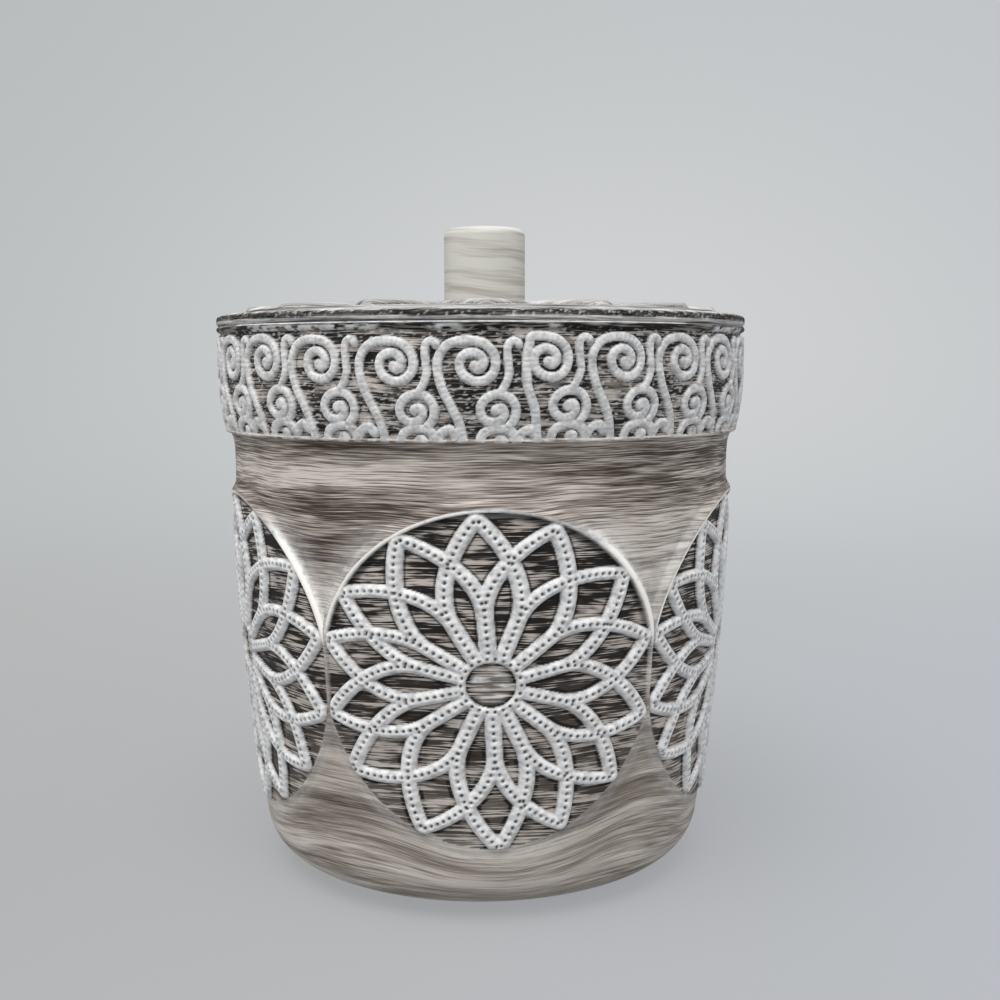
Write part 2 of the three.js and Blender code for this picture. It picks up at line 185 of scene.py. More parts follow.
# Lid
LID_EDGE_THICKNESS = 1.5
LID_EDGE_CHAMFER = 0.45
LID_SHOULDER_WIDTH = 1.6
LID_SHOULDER_RISE = 0.7
LID_SHOULDER_SOFTNESS = 0.4
LID_LEDGE_WIDTH = 4
LID_CARVING_SLOPE = 0.25
LID_CARVING_HEIGHT = 1.4
LID_CARVING_CHAMFER = 0.4
LID_GROUND_DEPTH = 1.15
LID_CORE_DEPTH = 1.7
LID_CORE_TOP = 1.8
LID_CORE_LEDGE = 1.6
LID_CORE_LEDGE_WIDTH = 6
LID_CORE_EDGE = 0.6
LID_CORE_EDGE_WIDTH = 1
LID_TUCK_HEIGHT = 1
FLANGE_WIDTH = 4
FLANGE_CHAMFER = 0.8
FLANGE_CLEARANCE = 0.4
LID_HOLE_RADIUS = 5.2
LID_MEAN_RADIUS = 46
LID_PETAL_COUNT = 14
LID_PETAL_TURN = -0.7
LID_RIBBON_HALF_WIDTH = 1.75
LID_RIBBON_INSET_SHARE = 0.8
LID_HUB_RING_RADIUS = 10
LID_PIT_PITCH = 2
LID_PIT_RADIUS = PIT_RADIUS * 1.5
LID_SHOULDER_RADIUS = RIM_RADIUS - LID_SHOULDER_WIDTH
LID_CARVING_RADIUS = LID_SHOULDER_RADIUS - LID_LEDGE_WIDTH
LID_EDGE_Z = RIM_Z + LID_EDGE_THICKNESS
LID_CARVING_FOOT_Z = LID_TOP_Z - LID_CARVING_HEIGHT

# Lid's edge: heights where a mark starts and is full, and how its rough band is knurled
ROUGH_FROM_Z = RIM_Z + np.array((0.6, 0.8))
ROUGH_TO_Z = LID_EDGE_Z + np.array((0.5, 0.25))
BRIGHT_BAND_FROM_Z = RIM_Z + np.array((0.2, 0.35))
BRIGHT_BAND_TO_Z = RIM_Z + np.array((0.8, 0.6))
# EDGE_SHADE_Z is a painted shade at the foot of the lid's edge, just above the jar's rim.
EDGE_SHADE_Z = RIM_Z + np.array((0.35, 0.15))
ROUGH_DEPTH = 0.3
KNURL_DEPTH = 0.15
KNURL_PITCH = 0.8

# Knob, washer and base pad
KNOB_SHIFT = 0.7
KNOB_FOOT_CHAMFER = 0.3
KNOB_TOP_ROUND = 1.5
KNOB_BORE_SPARE = 1.5
KNOB_STROKE_SLANT = 0.1
HOLE_RADIUS = 2.3
HOLE_LAND = 1
WASHER_CHAMFER = 0.2
PAD_EDGE_ROUND = 0.3

# How finely the relief is cut, how many steps round shapes have, and what counts as a sharp edge, in degrees
WALL_CELL = 0.213
COLLAR_CELL = 0.19
LID_CELL = 0.32
LID_ROWS_PER_CELL = 1.15
COARSE_CELL = 0.6
CARVED_REACH = 31
CURVE_STEP = 0.1
CURVE_SPLITS = 24
PETAL_POINTS = 15
SPIN_STEPS = 180
KNOB_STEPS = 96
WASHER_STEPS = 64
COLLAR_PARTS = 3
LID_PARTS = 2
PANEL_BACK_STEP = 12
GRID_EDGE = 0.0001
SHARP_ANGLE = 40


def smooth(low, high, value):
    """0 up to low, 1 from high on, and an even S between them. Low may be the greater of the two."""
    t = np.clip((value - low) / (high - low), 0, 1)
    return t * t * (3 - 2 * t)


def between(value, start, full, fade, end):
    """0 outside start and end, and 1 from full to fade."""
    return smooth(start, full, value) * (1 - smooth(fade, end, value))


def mix(a, b, share):
    return a + (b - a) * share


def arc(centre, radius, start, stop, steps):
    angles = np.linspace(start, stop, steps + 1)
    return np.column_stack((centre[0] + radius * np.cos(angles), centre[1] + radius * np.sin(angles)))


def bend(start, corner, end, steps):
    """The points of a bend from start to end that is drawn towards corner."""
    t = np.linspace(0, 1, steps + 1)[:, None]
    return (1 - t) ** 2 * np.array(start) + 2 * t * (1 - t) * np.array(corner) + t**2 * np.array(end)


def along(points):
    """How far each point lies along its line."""
    return np.concatenate(([0], np.cumsum(np.hypot(*np.diff(points, axis=0).T))))


def places_along(line, reaches):
    """The places at these reaches along a line."""
    reach = along(line)
    return np.column_stack([np.interp(reaches, reach, line[:, axis]) for axis in (0, 1)])


def drawn(points):
    """A smooth line through a few points, in even steps."""
    p = np.array(points, float)
    p = np.vstack((2 * p[0] - p[1], p, 2 * p[-1] - p[-2]))
    t = np.linspace(0, 1, CURVE_SPLITS, endpoint=False)[:, None]
    spans = [
        0.5 * (2 * b + (c - a) * t + (2 * a - 5 * b + 4 * c - d) * t**2 + (3 * b - a - 3 * c + d) * t**3)
        for a, b, c, d in zip(p, p[1:], p[2:], p[3:])
    ]
    line = np.vstack((*spans, p[-2]))
    length = along(line)[-1]
    return places_along(line, np.linspace(0, length, max(2, round(length / CURVE_STEP) + 1)))


def nearest(points, targets):
    """The distance from each target to the nearest point, and which point it is."""
    tree = KDTree(len(points))
    for i, (x, y) in enumerate(points):
        tree.insert((x, y, 0), i)
    tree.balance()
    found = [tree.find((x, y, 0)) for x, y in targets]
    return np.array([f[2] for f in found]), np.array([f[1] for f in found])


def wander(bearing, seed):
    """A slow random swing round the jar, between about -1 and 1."""
    waves = [math.sin(seed * k) * np.sin(k * bearing + seed * k * k) for k in (2, 3, 5, 8, 13, 21)]
    return sum(waves) / 1.6


def grain_at(places, length, thickness):
    """Random values from about -0.5 to 0.5 at places in millimetres, drawn out level."""
    return np.array([noise.noise((x / length, y / length, z / thickness)) for x, y, z in places])


# Profiles of the jar and the lid, as (radius, height)


def wall_profile(offset=0):
    """The wall from the edge of the flat foot up to the crease under the collar."""
    centre = (FOOT_FLAT_RADIUS, FOOT_Z + FOOT_ROUND)
    flare = math.atan2(WALL_FLARE, WALL_BELLY_SHARE * (WALL_TOP_Z - centre[1]))
    foot = arc(centre, FOOT_ROUND + offset, -math.pi / 2, -flare, steps=24)
    top = (WALL_TOP_RADIUS + offset, WALL_TOP_Z)
    corner = (top[0], foot[-1][1] + (top[0] - foot[-1][0]) / math.tan(flare))
    crease = (COLLAR_LIP_RADIUS - COLLAR_LIP_ROUND + offset, COLLAR_LIP_Z)
    cove = bend(top, (top[0], COLLAR_LIP_Z), crease, steps=12)
    return np.vstack((foot[:-1], bend(foot[-1], corner, top, steps=60)[:-1], cove))


def collar_profile():
    """The collar from the crease under it up over the rim."""
    crease = (COLLAR_LIP_RADIUS - COLLAR_LIP_ROUND, COLLAR_LIP_Z)
    lip = (COLLAR_LIP_RADIUS, COLLAR_LIP_Z + COLLAR_LIP_ROUND)
    straight = (RIM_RADIUS, RIM_Z - COLLAR_STRAIGHT)
    rim = arc((RIM_RADIUS - RIM_ROUND, RIM_Z - RIM_ROUND), RIM_ROUND, 0, math.pi / 2, steps=6)
    under = bend(crease, (lip[0], crease[1]), lip, steps=6)
    face = bend(lip, (RIM_RADIUS, (lip[1] + straight[1]) / 2), straight, steps=30)
    return np.vstack((under[:-1], face, rim, (RIM_JOIN_RADIUS, RIM_Z)))


def lid_top_profile():
    """The lid from its middle out over the carving, the ledge and the shoulder, and down its edge."""
    shoulder_z = LID_EDGE_Z + LID_SHOULDER_RISE
    shoulder = (LID_SHOULDER_RADIUS, shoulder_z)
    corner = (RIM_RADIUS - LID_SHOULDER_SOFTNESS, shoulder_z)
    bevel = bend(shoulder, corner, (RIM_RADIUS, LID_EDGE_Z), steps=8)
    return np.vstack((
        (LID_HOLE_RADIUS, LID_TOP_Z),
        (LID_CARVING_RADIUS - LID_CARVING_CHAMFER, LID_TOP_Z),
        (LID_CARVING_RADIUS, LID_TOP_Z - LID_CARVING_CHAMFER),
        (LID_CARVING_RADIUS, shoulder_z + LID_CARVING_SLOPE),
        bevel,
        (RIM_RADIUS, RIM_Z + LID_EDGE_CHAMFER),
        (RIM_RADIUS - LID_EDGE_CHAMFER, RIM_Z),
    ))


def bore_radius(z):
    return FLOOR_RADIUS + (MOUTH_RADIUS - FLOOR_RADIUS) * (z - FLOOR_Z) / (RIM_Z - FLOOR_Z)


# Meshes


def new_object(name, data):
    made = bpy.data.objects.new(name, data)
    bpy.context.scene.collection.objects.link(made)
    return made


def finish_piece(piece, body, material):
    piece.data.materials.append(material)
    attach(piece, body)
    return piece


def smooth_mesh(bm, name):
    """Turns a bmesh into a mesh with smooth faces."""
    for face in bm.faces:
        face.smooth = True
    mesh = bpy.data.meshes.new(name)
    bm.to_mesh(mesh)
    bm.free()
    return mesh


def spun(name, profile, steps=SPIN_STEPS):
    """A closed body turned about the jar's axis."""
    bm = bmesh.new()
    line = [bm.verts.new((r * MM, 0, z * MM)) for r, z in profile]
    edges = [bm.edges.new(pair) for pair in zip(line, line[1:])]
    bmesh.ops.spin(
        bm, geom=line + edges, cent=(0, 0, 0), axis=(0, 0, 1), angle=2 * math.pi, steps=steps, use_merge=True
    )
    bmesh.ops.remove_doubles(bm, verts=bm.verts, dist=1e-6)
    bmesh.ops.recalc_face_normals(bm, faces=bm.faces)
    for edge in bm.edges:
        if len(edge.link_faces) == 2 and edge.calc_face_angle() > math.radians(SHARP_ANGLE):
            edge.smooth = False
    return new_object(name, smooth_mesh(bm, name))


def slab(name, columns, rows, tucks=1):
    """A closed slab: a fine grid in front from (0, 0) to (1, 1), and its top edge tucked in behind, row by
    row, to heights -1, -2 and so on."""
    bm = bmesh.new()
    bmesh.ops.create_grid(bm, x_segments=columns, y_segments=rows, size=0.5)
    bmesh.ops.translate(bm, vec=(0.5, 0.5, 0), verts=bm.verts)
    border = [edge for edge in bm.edges if edge.is_boundary]
    for edge in border:
        edge.smooth = False
    top = [edge for edge in border if all(v.co.y > 1 - GRID_EDGE for v in edge.verts)]
    bottom = [edge for edge in border if all(v.co.y < GRID_EDGE for v in edge.verts)]
    for tuck in range(tucks):
        tucked = bmesh.ops.extrude_edge_only(bm, edges=top)["geom"]
        moved = [part for part in tucked if isinstance(part, bmesh.types.BMVert)]
        bmesh.ops.translate(bm, vec=(0, 0, -1), verts=moved)
        edges = [part for part in tucked if isinstance(part, bmesh.types.BMEdge)]
        top = [edge for edge in edges if all(v.co.z < -0.5 - tuck for v in edge.verts)]
    bmesh.ops.bridge_loops(bm, edges=top + bottom)
    bmesh.ops.holes_fill(bm, edges=[edge for edge in bm.edges if edge.is_boundary], sides=0)
    bmesh.ops.recalc_face_normals(bm, faces=bm.faces)
    return new_object(name, smooth_mesh(bm, name))


def vertex_places(mesh):
    flat = np.empty(len(mesh.vertices) * 3)
    mesh.vertices.foreach_get("co", flat)
    return flat.reshape(-1, 3)


def mark(mesh, name, values):
    marked = mesh.attributes.new(name, "FLOAT", "POINT")
    marked.data.foreach_set("value", values.astype(np.float32))


def wrapped(piece, profile, reaches, start, stop, behind, relief, strokes_follow_profile=True):
    """Lays a slab round the jar between two bearings in degrees, its rows along the profile and then along
    the places behind it, and raises its relief. Its paint with painted highlights, its dirt with painted
    shade, and its flow, which is how far the brush strokes dip, become attributes."""
    places = vertex_places(piece.data)
    bearing = np.radians(mix(start, stop, places[:, 0]))
    row = np.interp(places[:, 1], np.linspace(0, 1, len(reaches)), reaches)
    radius, z = places_along(profile, row).T
    height, lift, paint_and_highlight, dirt_and_shade, flow = relief(bearing, radius, z)
    if strokes_follow_profile:
        flow = flow + row - z
    front = places[:, 2] > -0.5
    tuck = np.array(behind)[np.maximum(-places[:, 2] - 0.5, 0).astype(int)]
    radius = np.where(front, radius + height, tuck[:, 0])
    z = np.where(front, z + lift, tuck[:, 1])
    placed = np.column_stack((radius * np.sin(bearing), -radius * np.cos(bearing), z)) * MM
    piece.data.vertices.foreach_set("co", placed.ravel())
    mark(piece.data, "paint_and_highlight", paint_and_highlight)
    mark(piece.data, "dirt_and_shade", dirt_and_shade)
    mark(piece.data, "flow", flow)
    piece.data.update()
    return piece


def row_reaches(length, fine_from, fine_to, cell):
    """Row places along a profile: fine between two reaches, and coarse outside them."""
    below = np.linspace(0, fine_from, max(1, round(fine_from / COARSE_CELL)), endpoint=False)
    fine = np.linspace(fine_from, fine_to, round((fine_to - fine_from) / cell), endpoint=False)
    above = np.linspace(fine_to, length, max(2, round((length - fine_to) / COARSE_CELL)))
    return np.concatenate((below, fine, above))


# Rosettes, which the medallions and the lid share


def polar(reach, bearing):
    """Places at a reach and a bearing clockwise from the top, in degrees."""
    return np.column_stack((reach * np.sin(np.radians(bearing)), reach * np.cos(np.radians(bearing))))


def petal_lines(bearings, lengths, hub_radius):
    """Lines of a rosette: from each petal's tip one swings over to the petal on either side, where a spoke
    runs on to the hub."""
    share = np.linspace(0, 1, PETAL_POINTS)
    lines = []
    for i, (bearing, length) in enumerate(zip(bearings, lengths)):
        for hand in (1, -1):
            other = (i + hand) % len(bearings)
            turn = hand * ((hand * (bearings[other] - bearing)) % 360)
            reach = mix(length, lengths[other], share) * mix(1, SPOKE_SHARE, share)
            swing = (1 + SWING_LEAD_SHARE) * share - SWING_LEAD_SHARE * share**6
            lines.append(drawn(polar(reach, bearing + turn * swing)))
        spoke = np.linspace(hub_radius, length * SPOKE_SHARE, 3)
        lines.append(drawn(polar(spoke, np.full(3, float(bearing)))))
    return lines


def ring_line(wide, high):
    turn = np.linspace(0, 2 * math.pi, round(2 * math.pi * wide / CURVE_STEP))
    return np.column_stack((wide * np.sin(turn), high * np.cos(turn)))


def punched(line, pitch):
    """Pits punched along a line, one in the middle of each pitch, and the pitches up to each point."""
    reach = along(line)
    count = max(1, round(reach[-1] / pitch))
    even = (np.arange(count) + 0.5) * reach[-1] / count
    return places_along(line, even), reach * count / reach[-1]


def pit_depth(distance, radius):
    """1 in the middle of a pit, and 0 from a little outside its radius."""
    return 1 - smooth(0.45, 1.1, distance / radius)


def rosette(points, strands, half_widths, pit_radius):
    """The pit and bead at each point, from 0 to 1, and its distance from a ribbon's middle in half widths."""
    off, which = nearest(np.vstack([line for line, _ in strands]) / half_widths, points / half_widths)
    pits, pitches = zip(*(punched(line, pitch) for line, pitch in strands))
    to_pit, _ = nearest(np.vstack(pits), points)
    pit = pit_depth(to_pit, pit_radius) * (off < 0.8)
    bead = np.cos(math.pi * np.concatenate(pitches)[which]) ** 2 * smooth(0.75, 0.3, off)
    return pit, bead, off


# Relief of the medallions


def disc_places(bearing, z):
    """Where places lie on a wall panel's disc: across and up from its middle, reach (1 at its edge), edge
    (out from there), compass (clockwise from its top), upper (1 in its upper part, 0 in its lower part),
    to_border (in from the panel's side) and near (where carving can be)."""
    across = bearing * WRAP_RADIUS
    up = z - MEDALLION_Z
    reach = np.hypot(across / MEDALLION_HALF_WIDTH, up / MEDALLION_HALF_HEIGHT)
    return SimpleNamespace(
        across=across,
        up=up,
        reach=reach,
        edge=(reach - 1) * MEDALLION_MEAN_RADIUS,
        compass=np.degrees(np.arctan2(across, up)),
        upper=smooth(-0.7, 0.6, up / MEDALLION_HALF_HEIGHT),
        to_border=HALF_PANEL - np.abs(across),
        near=reach < 1.1,
    )


def disc_ground(disc):
    """Heights of the disc's sunk floor, and of the whole ground with the rim that runs out into the wall and
    the ridge where two discs meet."""
    facet = FACET_RISE * (disc.across / HALF_PANEL) ** 2 * smooth(1.35, 0.8, disc.reach)
    floor = facet + mix(LOW_FLOOR_RISE, 0, disc.upper) * smooth(0.5, 1, disc.reach)
    rim = facet + mix(LOW_RIM_HEIGHT, HIGH_RIM_HEIGHT, disc.upper)
    run = mix(LOW_RIM_RUN, HIGH_RIM_RUN, disc.upper)
    swell = rim * (1 - smooth(RIM_CREST, run, disc.edge)) * (disc.edge > 0)
    inside = smooth(0, -RIM_WALL, disc.edge)
    ground = np.where(disc.edge > 0, swell, mix(rim, floor, inside))
    ridge = (facet + BORDER_RIDGE_HEIGHT) * (1 - smooth(0.1, 0.75, disc.to_border))
    return floor, np.maximum(ground, ridge * smooth(*RIDGE_END, disc.edge))


def disc_carving(disc):
    """What rosette gives, with the hub's ring put in, and how far out in the hub each place is."""
    strands = [(line, PIT_PITCH) for line in petal_lines(PETAL_BEARINGS, PETAL_LENGTHS, HUB_RING_WIDE)]
    half_widths = np.array((RIBBON_HALF_WIDTH, RIBBON_HALF_HEIGHT))
    points = np.column_stack((disc.across[disc.near], disc.up[disc.near]))
    pit, bead, off = (np.full(len(disc.across), start) for start in (0.0, 0.0, 9.0))
    pit[disc.near], bead[disc.near], off[disc.near] = rosette(points, strands, half_widths, PIT_RADIUS)
    in_hub = np.hypot(disc.across / HUB_RING_WIDE, disc.up / HUB_RING_HIGH)
    hub_off = np.abs(in_hub - 1) * (HUB_RING_WIDE + HUB_RING_HIGH) / 2 / HUB_RING_HALF_WIDTH
    hub_pits, _ = punched(ring_line(HUB_RING_WIDE, HUB_RING_HIGH), HUB_PIT_PITCH)
    to_hub_pit, _ = nearest(hub_pits, points)
    on_ring = in_hub[disc.near] < HUB_PIT_REACH_SHARE
    pit[disc.near] = np.where(on_ring, pit_depth(to_hub_pit, PIT_RADIUS), pit[disc.near])
    off = np.where(in_hub < 1, hub_off, np.minimum(off, hub_off))
    return pit, bead, off, in_hub


def disc_paint_and_highlight(disc, ribbon, bead, hub):
    """Paint on the ribbons and in the hub, and on the rim's crest, brightened there into a painted highlight.
    Paint rubbed off on the wall round it, and a painted highlight on the swelling outside the upper rim.
    """
    # The rim's crest: whitewash, pushed past 1 into a painted highlight, mostly in the upper half.
    thin_crest = between(disc.edge, *THIN_CREST) * between(disc.compass, *THIN_CREST_ARC)
    thin_crest = thin_crest * mix(1, 0.45, smooth(*THIN_CREST_DIM_ARC, disc.compass))
    broad_crest = between(disc.edge, *BROAD_CREST) * between(disc.compass, *BROAD_CREST_ARC)
    ridge = (1 - smooth(0.1, 0.5, disc.to_border)) * smooth(*RIDGE_END, disc.edge)
    ridge = ridge * smooth(9, 3, np.abs(disc.up))
    # A painted highlight on the swelling just outside the upper rim.
    glow = between(disc.edge, *GLOW_HIGHLIGHT) * smooth(*GLOW_HIGHLIGHT_ARC, np.abs(disc.compass)) * disc.upper
    fillet = between(disc.edge, *FILLET) * (1 - disc.upper)
    coat = smooth(0.12, 0.5, ribbon) * (1 + 0.15 * bead)
    places = np.column_stack((disc.across, np.zeros(len(disc.across)), disc.up))
    streaks = hub * smooth(0, 0.25, grain_at(places, 7, 0.6))
    return np.maximum.reduce((
        coat, 1.5 * thin_crest, 1.4 * broad_crest, 0.4 * ridge, 0.35 * glow, 0.2 * fillet, 0.85 * streaks,
    ))


def disc_dirt_and_shade(disc, off, hub):
    """Dirt pooled on the sunk floor and darker in its upper half, a painted shadow under its upper rim, and a
    painted shade line beside the ribbons.
    """
    # A painted shade line beside the ribbons, stronger in the upper half.
    outline_shade = smooth(1.9, 1.02, off) * (off > 0.95) * disc.near * smooth(0.05, -0.2, disc.edge)
    # A painted shadow on the floor under the upper rim.
    shade = (disc.edge < 0) * disc.upper * smooth(*RIM_SHADE, disc.edge)
    pool = (disc.edge < 0) * mix(0.42, 0.6, disc.upper)
    return np.maximum.reduce((pool, 0.95 * shade, mix(0.8, 0.95, disc.upper) * outline_shade)) * (1 - 0.3 * hub)


def medallion_relief(bearing, radius, z):
    """Height, lift, paint with painted highlights, dirt with painted shade, and flow of one panel of the
    wall, whose disc faces bearing 0.
    """
    disc = disc_places(bearing, z)
    floor, ground = disc_ground(disc)
    pit, bead, off, in_hub = disc_carving(disc)
    hub = smooth(0.8, 0.55, in_hub)
    keep = smooth(0.1, 0.9, disc.to_border)
    ribbon = np.clip(1 - off**4, 0, 1) * keep * smooth(0.1, -0.35, disc.edge)
    pit = pit * keep
    height = np.maximum(ground, floor + RELIEF * ribbon + BEAD_HEIGHT * bead * keep) - PIT_DEPTH * pit
    paint_and_highlight = disc_paint_and_highlight(disc, ribbon, bead, hub) * (1 - 0.9 * pit)
    dirt_and_shade = disc_dirt_and_shade(disc, off, hub) * keep * (1 - smooth(0.1, 0.5, ribbon))
    dip = np.cos(math.pi * disc.across / HALF_PANEL) * smooth(0, -24, disc.up) * smooth(2, 14, z)
    flow = FLOW_DIP * dip * (disc.edge > 0)
    return height, np.zeros(len(height)), paint_and_highlight, np.maximum(dirt_and_shade, pit), flow


# Relief of the scroll band. Its strokes are drawn from the middle of the large scroll.

STEM = (
    (-2.45, -13), (-3.1, -10.1), (-4.3, -7.4), (-5.6, -4.9),
    (-6.4, -2.3), (-6.6, -0.3), (-6.1, 1.3), (-4.95, 2.65),
)
JOIN_STEM = (
    (-2.1, -13.4), (-2.35, -11), (-2.6, -8.6), (-3.4, -6.3),
    (-3.95, -4.4), (-4.1, -1.5), (-4, 0.8), (-3.6, 2.2),
)
LARGE_SCROLL = (
    (-3.3, 3.3), (-1.2, 3.45), (1, 2.9), (2.5, 1.5), (2.95, -0.2), (2.5, -1.9), (1.2, -3), (-0.5, -3.15),
    (-2.1, -2.4), (-2.9, -0.9), (-2.65, 0.6), (-1.5, 1.4), (-0.2, 1.35), (0.75, 0.6), (0.85, -0.4),
    (0.2, -1), (-0.4, -0.8),
)
HOOK_STEM = (
    (6.75, 2.6), (6.5, 3.15), (5.75, 3.35), (5, 2.7), (4.9, 1.2),
    (5.1, -0.8), (5.15, -2), (4.7, -3.4), (3.9, -4.8),
)
SMALL_SCROLL = (
    (5, -10.7), (6.1, -9.3), (6.3, -7.5), (5.3, -5.9), (3.4, -5.3), (1.5, -5.9), (0.45, -7.4), (0.75, -9),
    (2.1, -9.9), (3.6, -9.6), (4.35, -8.6), (3.9, -7.7), (3.1, -7.9),
)
BASE_ARCH = ((0.3, -13), (1.1, -11.6), (3.3, -10.9), (5.3, -11.3), (6.6, -12.7))
BASE_TAIL = ((6.7, -12.8), (7.5, -11.6), (8.8, -11.2), (9.8, -11.9))
BASE_SEED = ((3.7, -12.9), (4.1, -12.9))
LEAF_STROKES = (
    (HOOK_STEM, HOOK_HALF_WIDTH),
    (SMALL_SCROLL, SMALL_SCROLL_HALF_WIDTH),
    (BASE_ARCH, STROKE_HALF_WIDTH),
    (BASE_TAIL, STROKE_HALF_WIDTH),
    (BASE_SEED, SEED_HALF_WIDTH),
)

# Paint left on the rim, in degrees round the jar
FLAKES = ((-55, -20), (-12.5, -4.5), (9.5, 13.5), (50, 70), (95, 130), (170, 182), (205, 236), (262, 270))
FLAKE_FADE = 2
RIM_LINE_END = 41


def scroll_lines():
    """All strokes round the jar: their points, half widths and reach along the stroke. Scroll 0 is squeezed
    in at the join of the band, and the last ones sag towards it."""
    girth = 2 * math.pi * SCROLL_WRAP_RADIUS
    points, widths, reaches = [], [], []
    for i in range(SCROLL_COUNT):
        stem = STEM if i else JOIN_STEM
        middle = SCROLL_START + SCROLL_PITCH * (i - 1) + SCROLL_NUDGES.get(i, 0) if i else SCROLL_JOIN
        sag = SCROLL_SAG * smooth(SCROLL_COUNT - 4, SCROLL_COUNT - 2, i)
        place = np.array((math.radians(middle) * SCROLL_WRAP_RADIUS, SCROLL_Z - sag))
        for stroke, half_width in ((stem + LARGE_SCROLL, STROKE_HALF_WIDTH), *LEAF_STROKES):
            line = drawn(stroke) + place
            for lap in (-1, 0):
                points.append(line + (lap * girth, 0))
                curled = CURL_HALF_WIDTH if half_width != HOOK_HALF_WIDTH else half_width
                widths.append(mix(half_width, curled, smooth(2.5, 0.3, along(line)[-1] - along(line))))
                reaches.append(along(line))
    points = np.vstack(points)
    close = np.abs(points[:, 0]) < girth / 2 + 3
    return points[close], np.concatenate(widths)[close], np.concatenate(reaches)[close]


def rim_paint(bearing, radius, z, ragged):
    """A bright line along the rim, and flakes of paint under it."""
    degrees = np.degrees(bearing)
    line = smooth(*RIM_LINE_Z, z) * (radius > RIM_RADIUS - 1)
    line = line * mix(1.0, 0.3, smooth(RIM_LINE_END, RIM_LINE_END + 1, degrees))
    flaked = sum(smooth(a, a + FLAKE_FADE, degrees) * smooth(b, b - FLAKE_FADE, degrees) for a, b in FLAKES)
    flakes = smooth(*FLAKES_FROM_Z, z) * smooth(*FLAKES_TO_Z, z)
    return np.maximum(line, flakes * flaked * smooth(-0.25, 0.05, ragged))


def collar_relief(bearing, radius, z):
    """Height, lift, paint, dirt with a painted shade line by each stroke, and flow of the collar. Its strokes
    stand level with the rim, and the ground between them is sunk."""
    lines, widths, reaches = scroll_lines()
    unrolled = (bearing + math.pi) % (2 * math.pi) - math.pi
    points = np.column_stack((unrolled * SCROLL_WRAP_RADIUS, z))
    places = np.column_stack((points, z))
    distance, which = nearest(lines, points)
    off = distance / widths[which]
    face = (radius > RIM_JOIN_RADIUS + 3) * (z < RIM_Z - 0.1)
    notch = 1 - np.abs(np.sin(math.pi * reaches[which] / STROKE_NOTCH_PITCH)) ** 0.35
    stroke = np.clip(1 - off**4, 0, 1) ** 0.6 * face
    sunk = smooth(*SUNK_FROM_Z, z) * (1 - smooth(*SUNK_TO_Z, z))
    height = -SCROLL_DEPTH * sunk * (1 - stroke * (1 - STROKE_NOTCH_SHARE * notch))

    ragged = grain_at(places, 1.5, 0.5)
    painted = smooth(0.25, 0.6, stroke)
    lip = smooth(*LIP_LINE_Z, z) * smooth(0.05, 0.3, ragged + 0.3 * wander(bearing, 4.0))
    dust = smooth(0.22, 0.42, grain_at(places, 0.9, 0.35)) * (1 - painted) * sunk
    strokes = painted * (0.92 - 0.4 * notch)
    paint_and_highlight = np.maximum.reduce((strokes, 0.7 * lip, rim_paint(bearing, radius, z, ragged), 0.6 * dust))

    # A painted shade line at the foot of each stroke, in the sunk ground.
    outline_shade = smooth(1.4, 1.02, off) * (off > 0.95)
    strip = smooth(*RIM_STRIP_Z, z) * (radius > RIM_RADIUS - 1)
    pool = mix(0.5, 0.85, smooth(-0.25, 0.2, grain_at(places, 4, 0.9)))
    dirt_and_shade = np.maximum.reduce((pool * sunk, 0.9 * outline_shade * sunk, 0.85 * strip)) * (1 - painted)
    return height, np.zeros(len(height)), paint_and_highlight, dirt_and_shade, np.zeros(len(height))


# Relief of the lid


def lid_rosette(points):
    """Pits, beads and ribbons of the lid's large rosette."""
    bearings = [LID_PETAL_TURN + 360 * i / LID_PETAL_COUNT for i in range(LID_PETAL_COUNT)]
    lengths = [LID_CARVING_RADIUS - LID_RIBBON_HALF_WIDTH * LID_RIBBON_INSET_SHARE] * LID_PETAL_COUNT
    petals = petal_lines(bearings, lengths, LID_HUB_RING_RADIUS)
    strands = [(line * (1, -1), LID_PIT_PITCH) for line in petals]
    strands.append((ring_line(LID_HUB_RING_RADIUS, LID_HUB_RING_RADIUS), LID_PIT_PITCH))
    pit, bead, off = rosette(points, strands, np.full(2, LID_RIBBON_HALF_WIDTH), LID_PIT_RADIUS)
    return pit, bead, np.clip(1 - off**4, 0, 1)


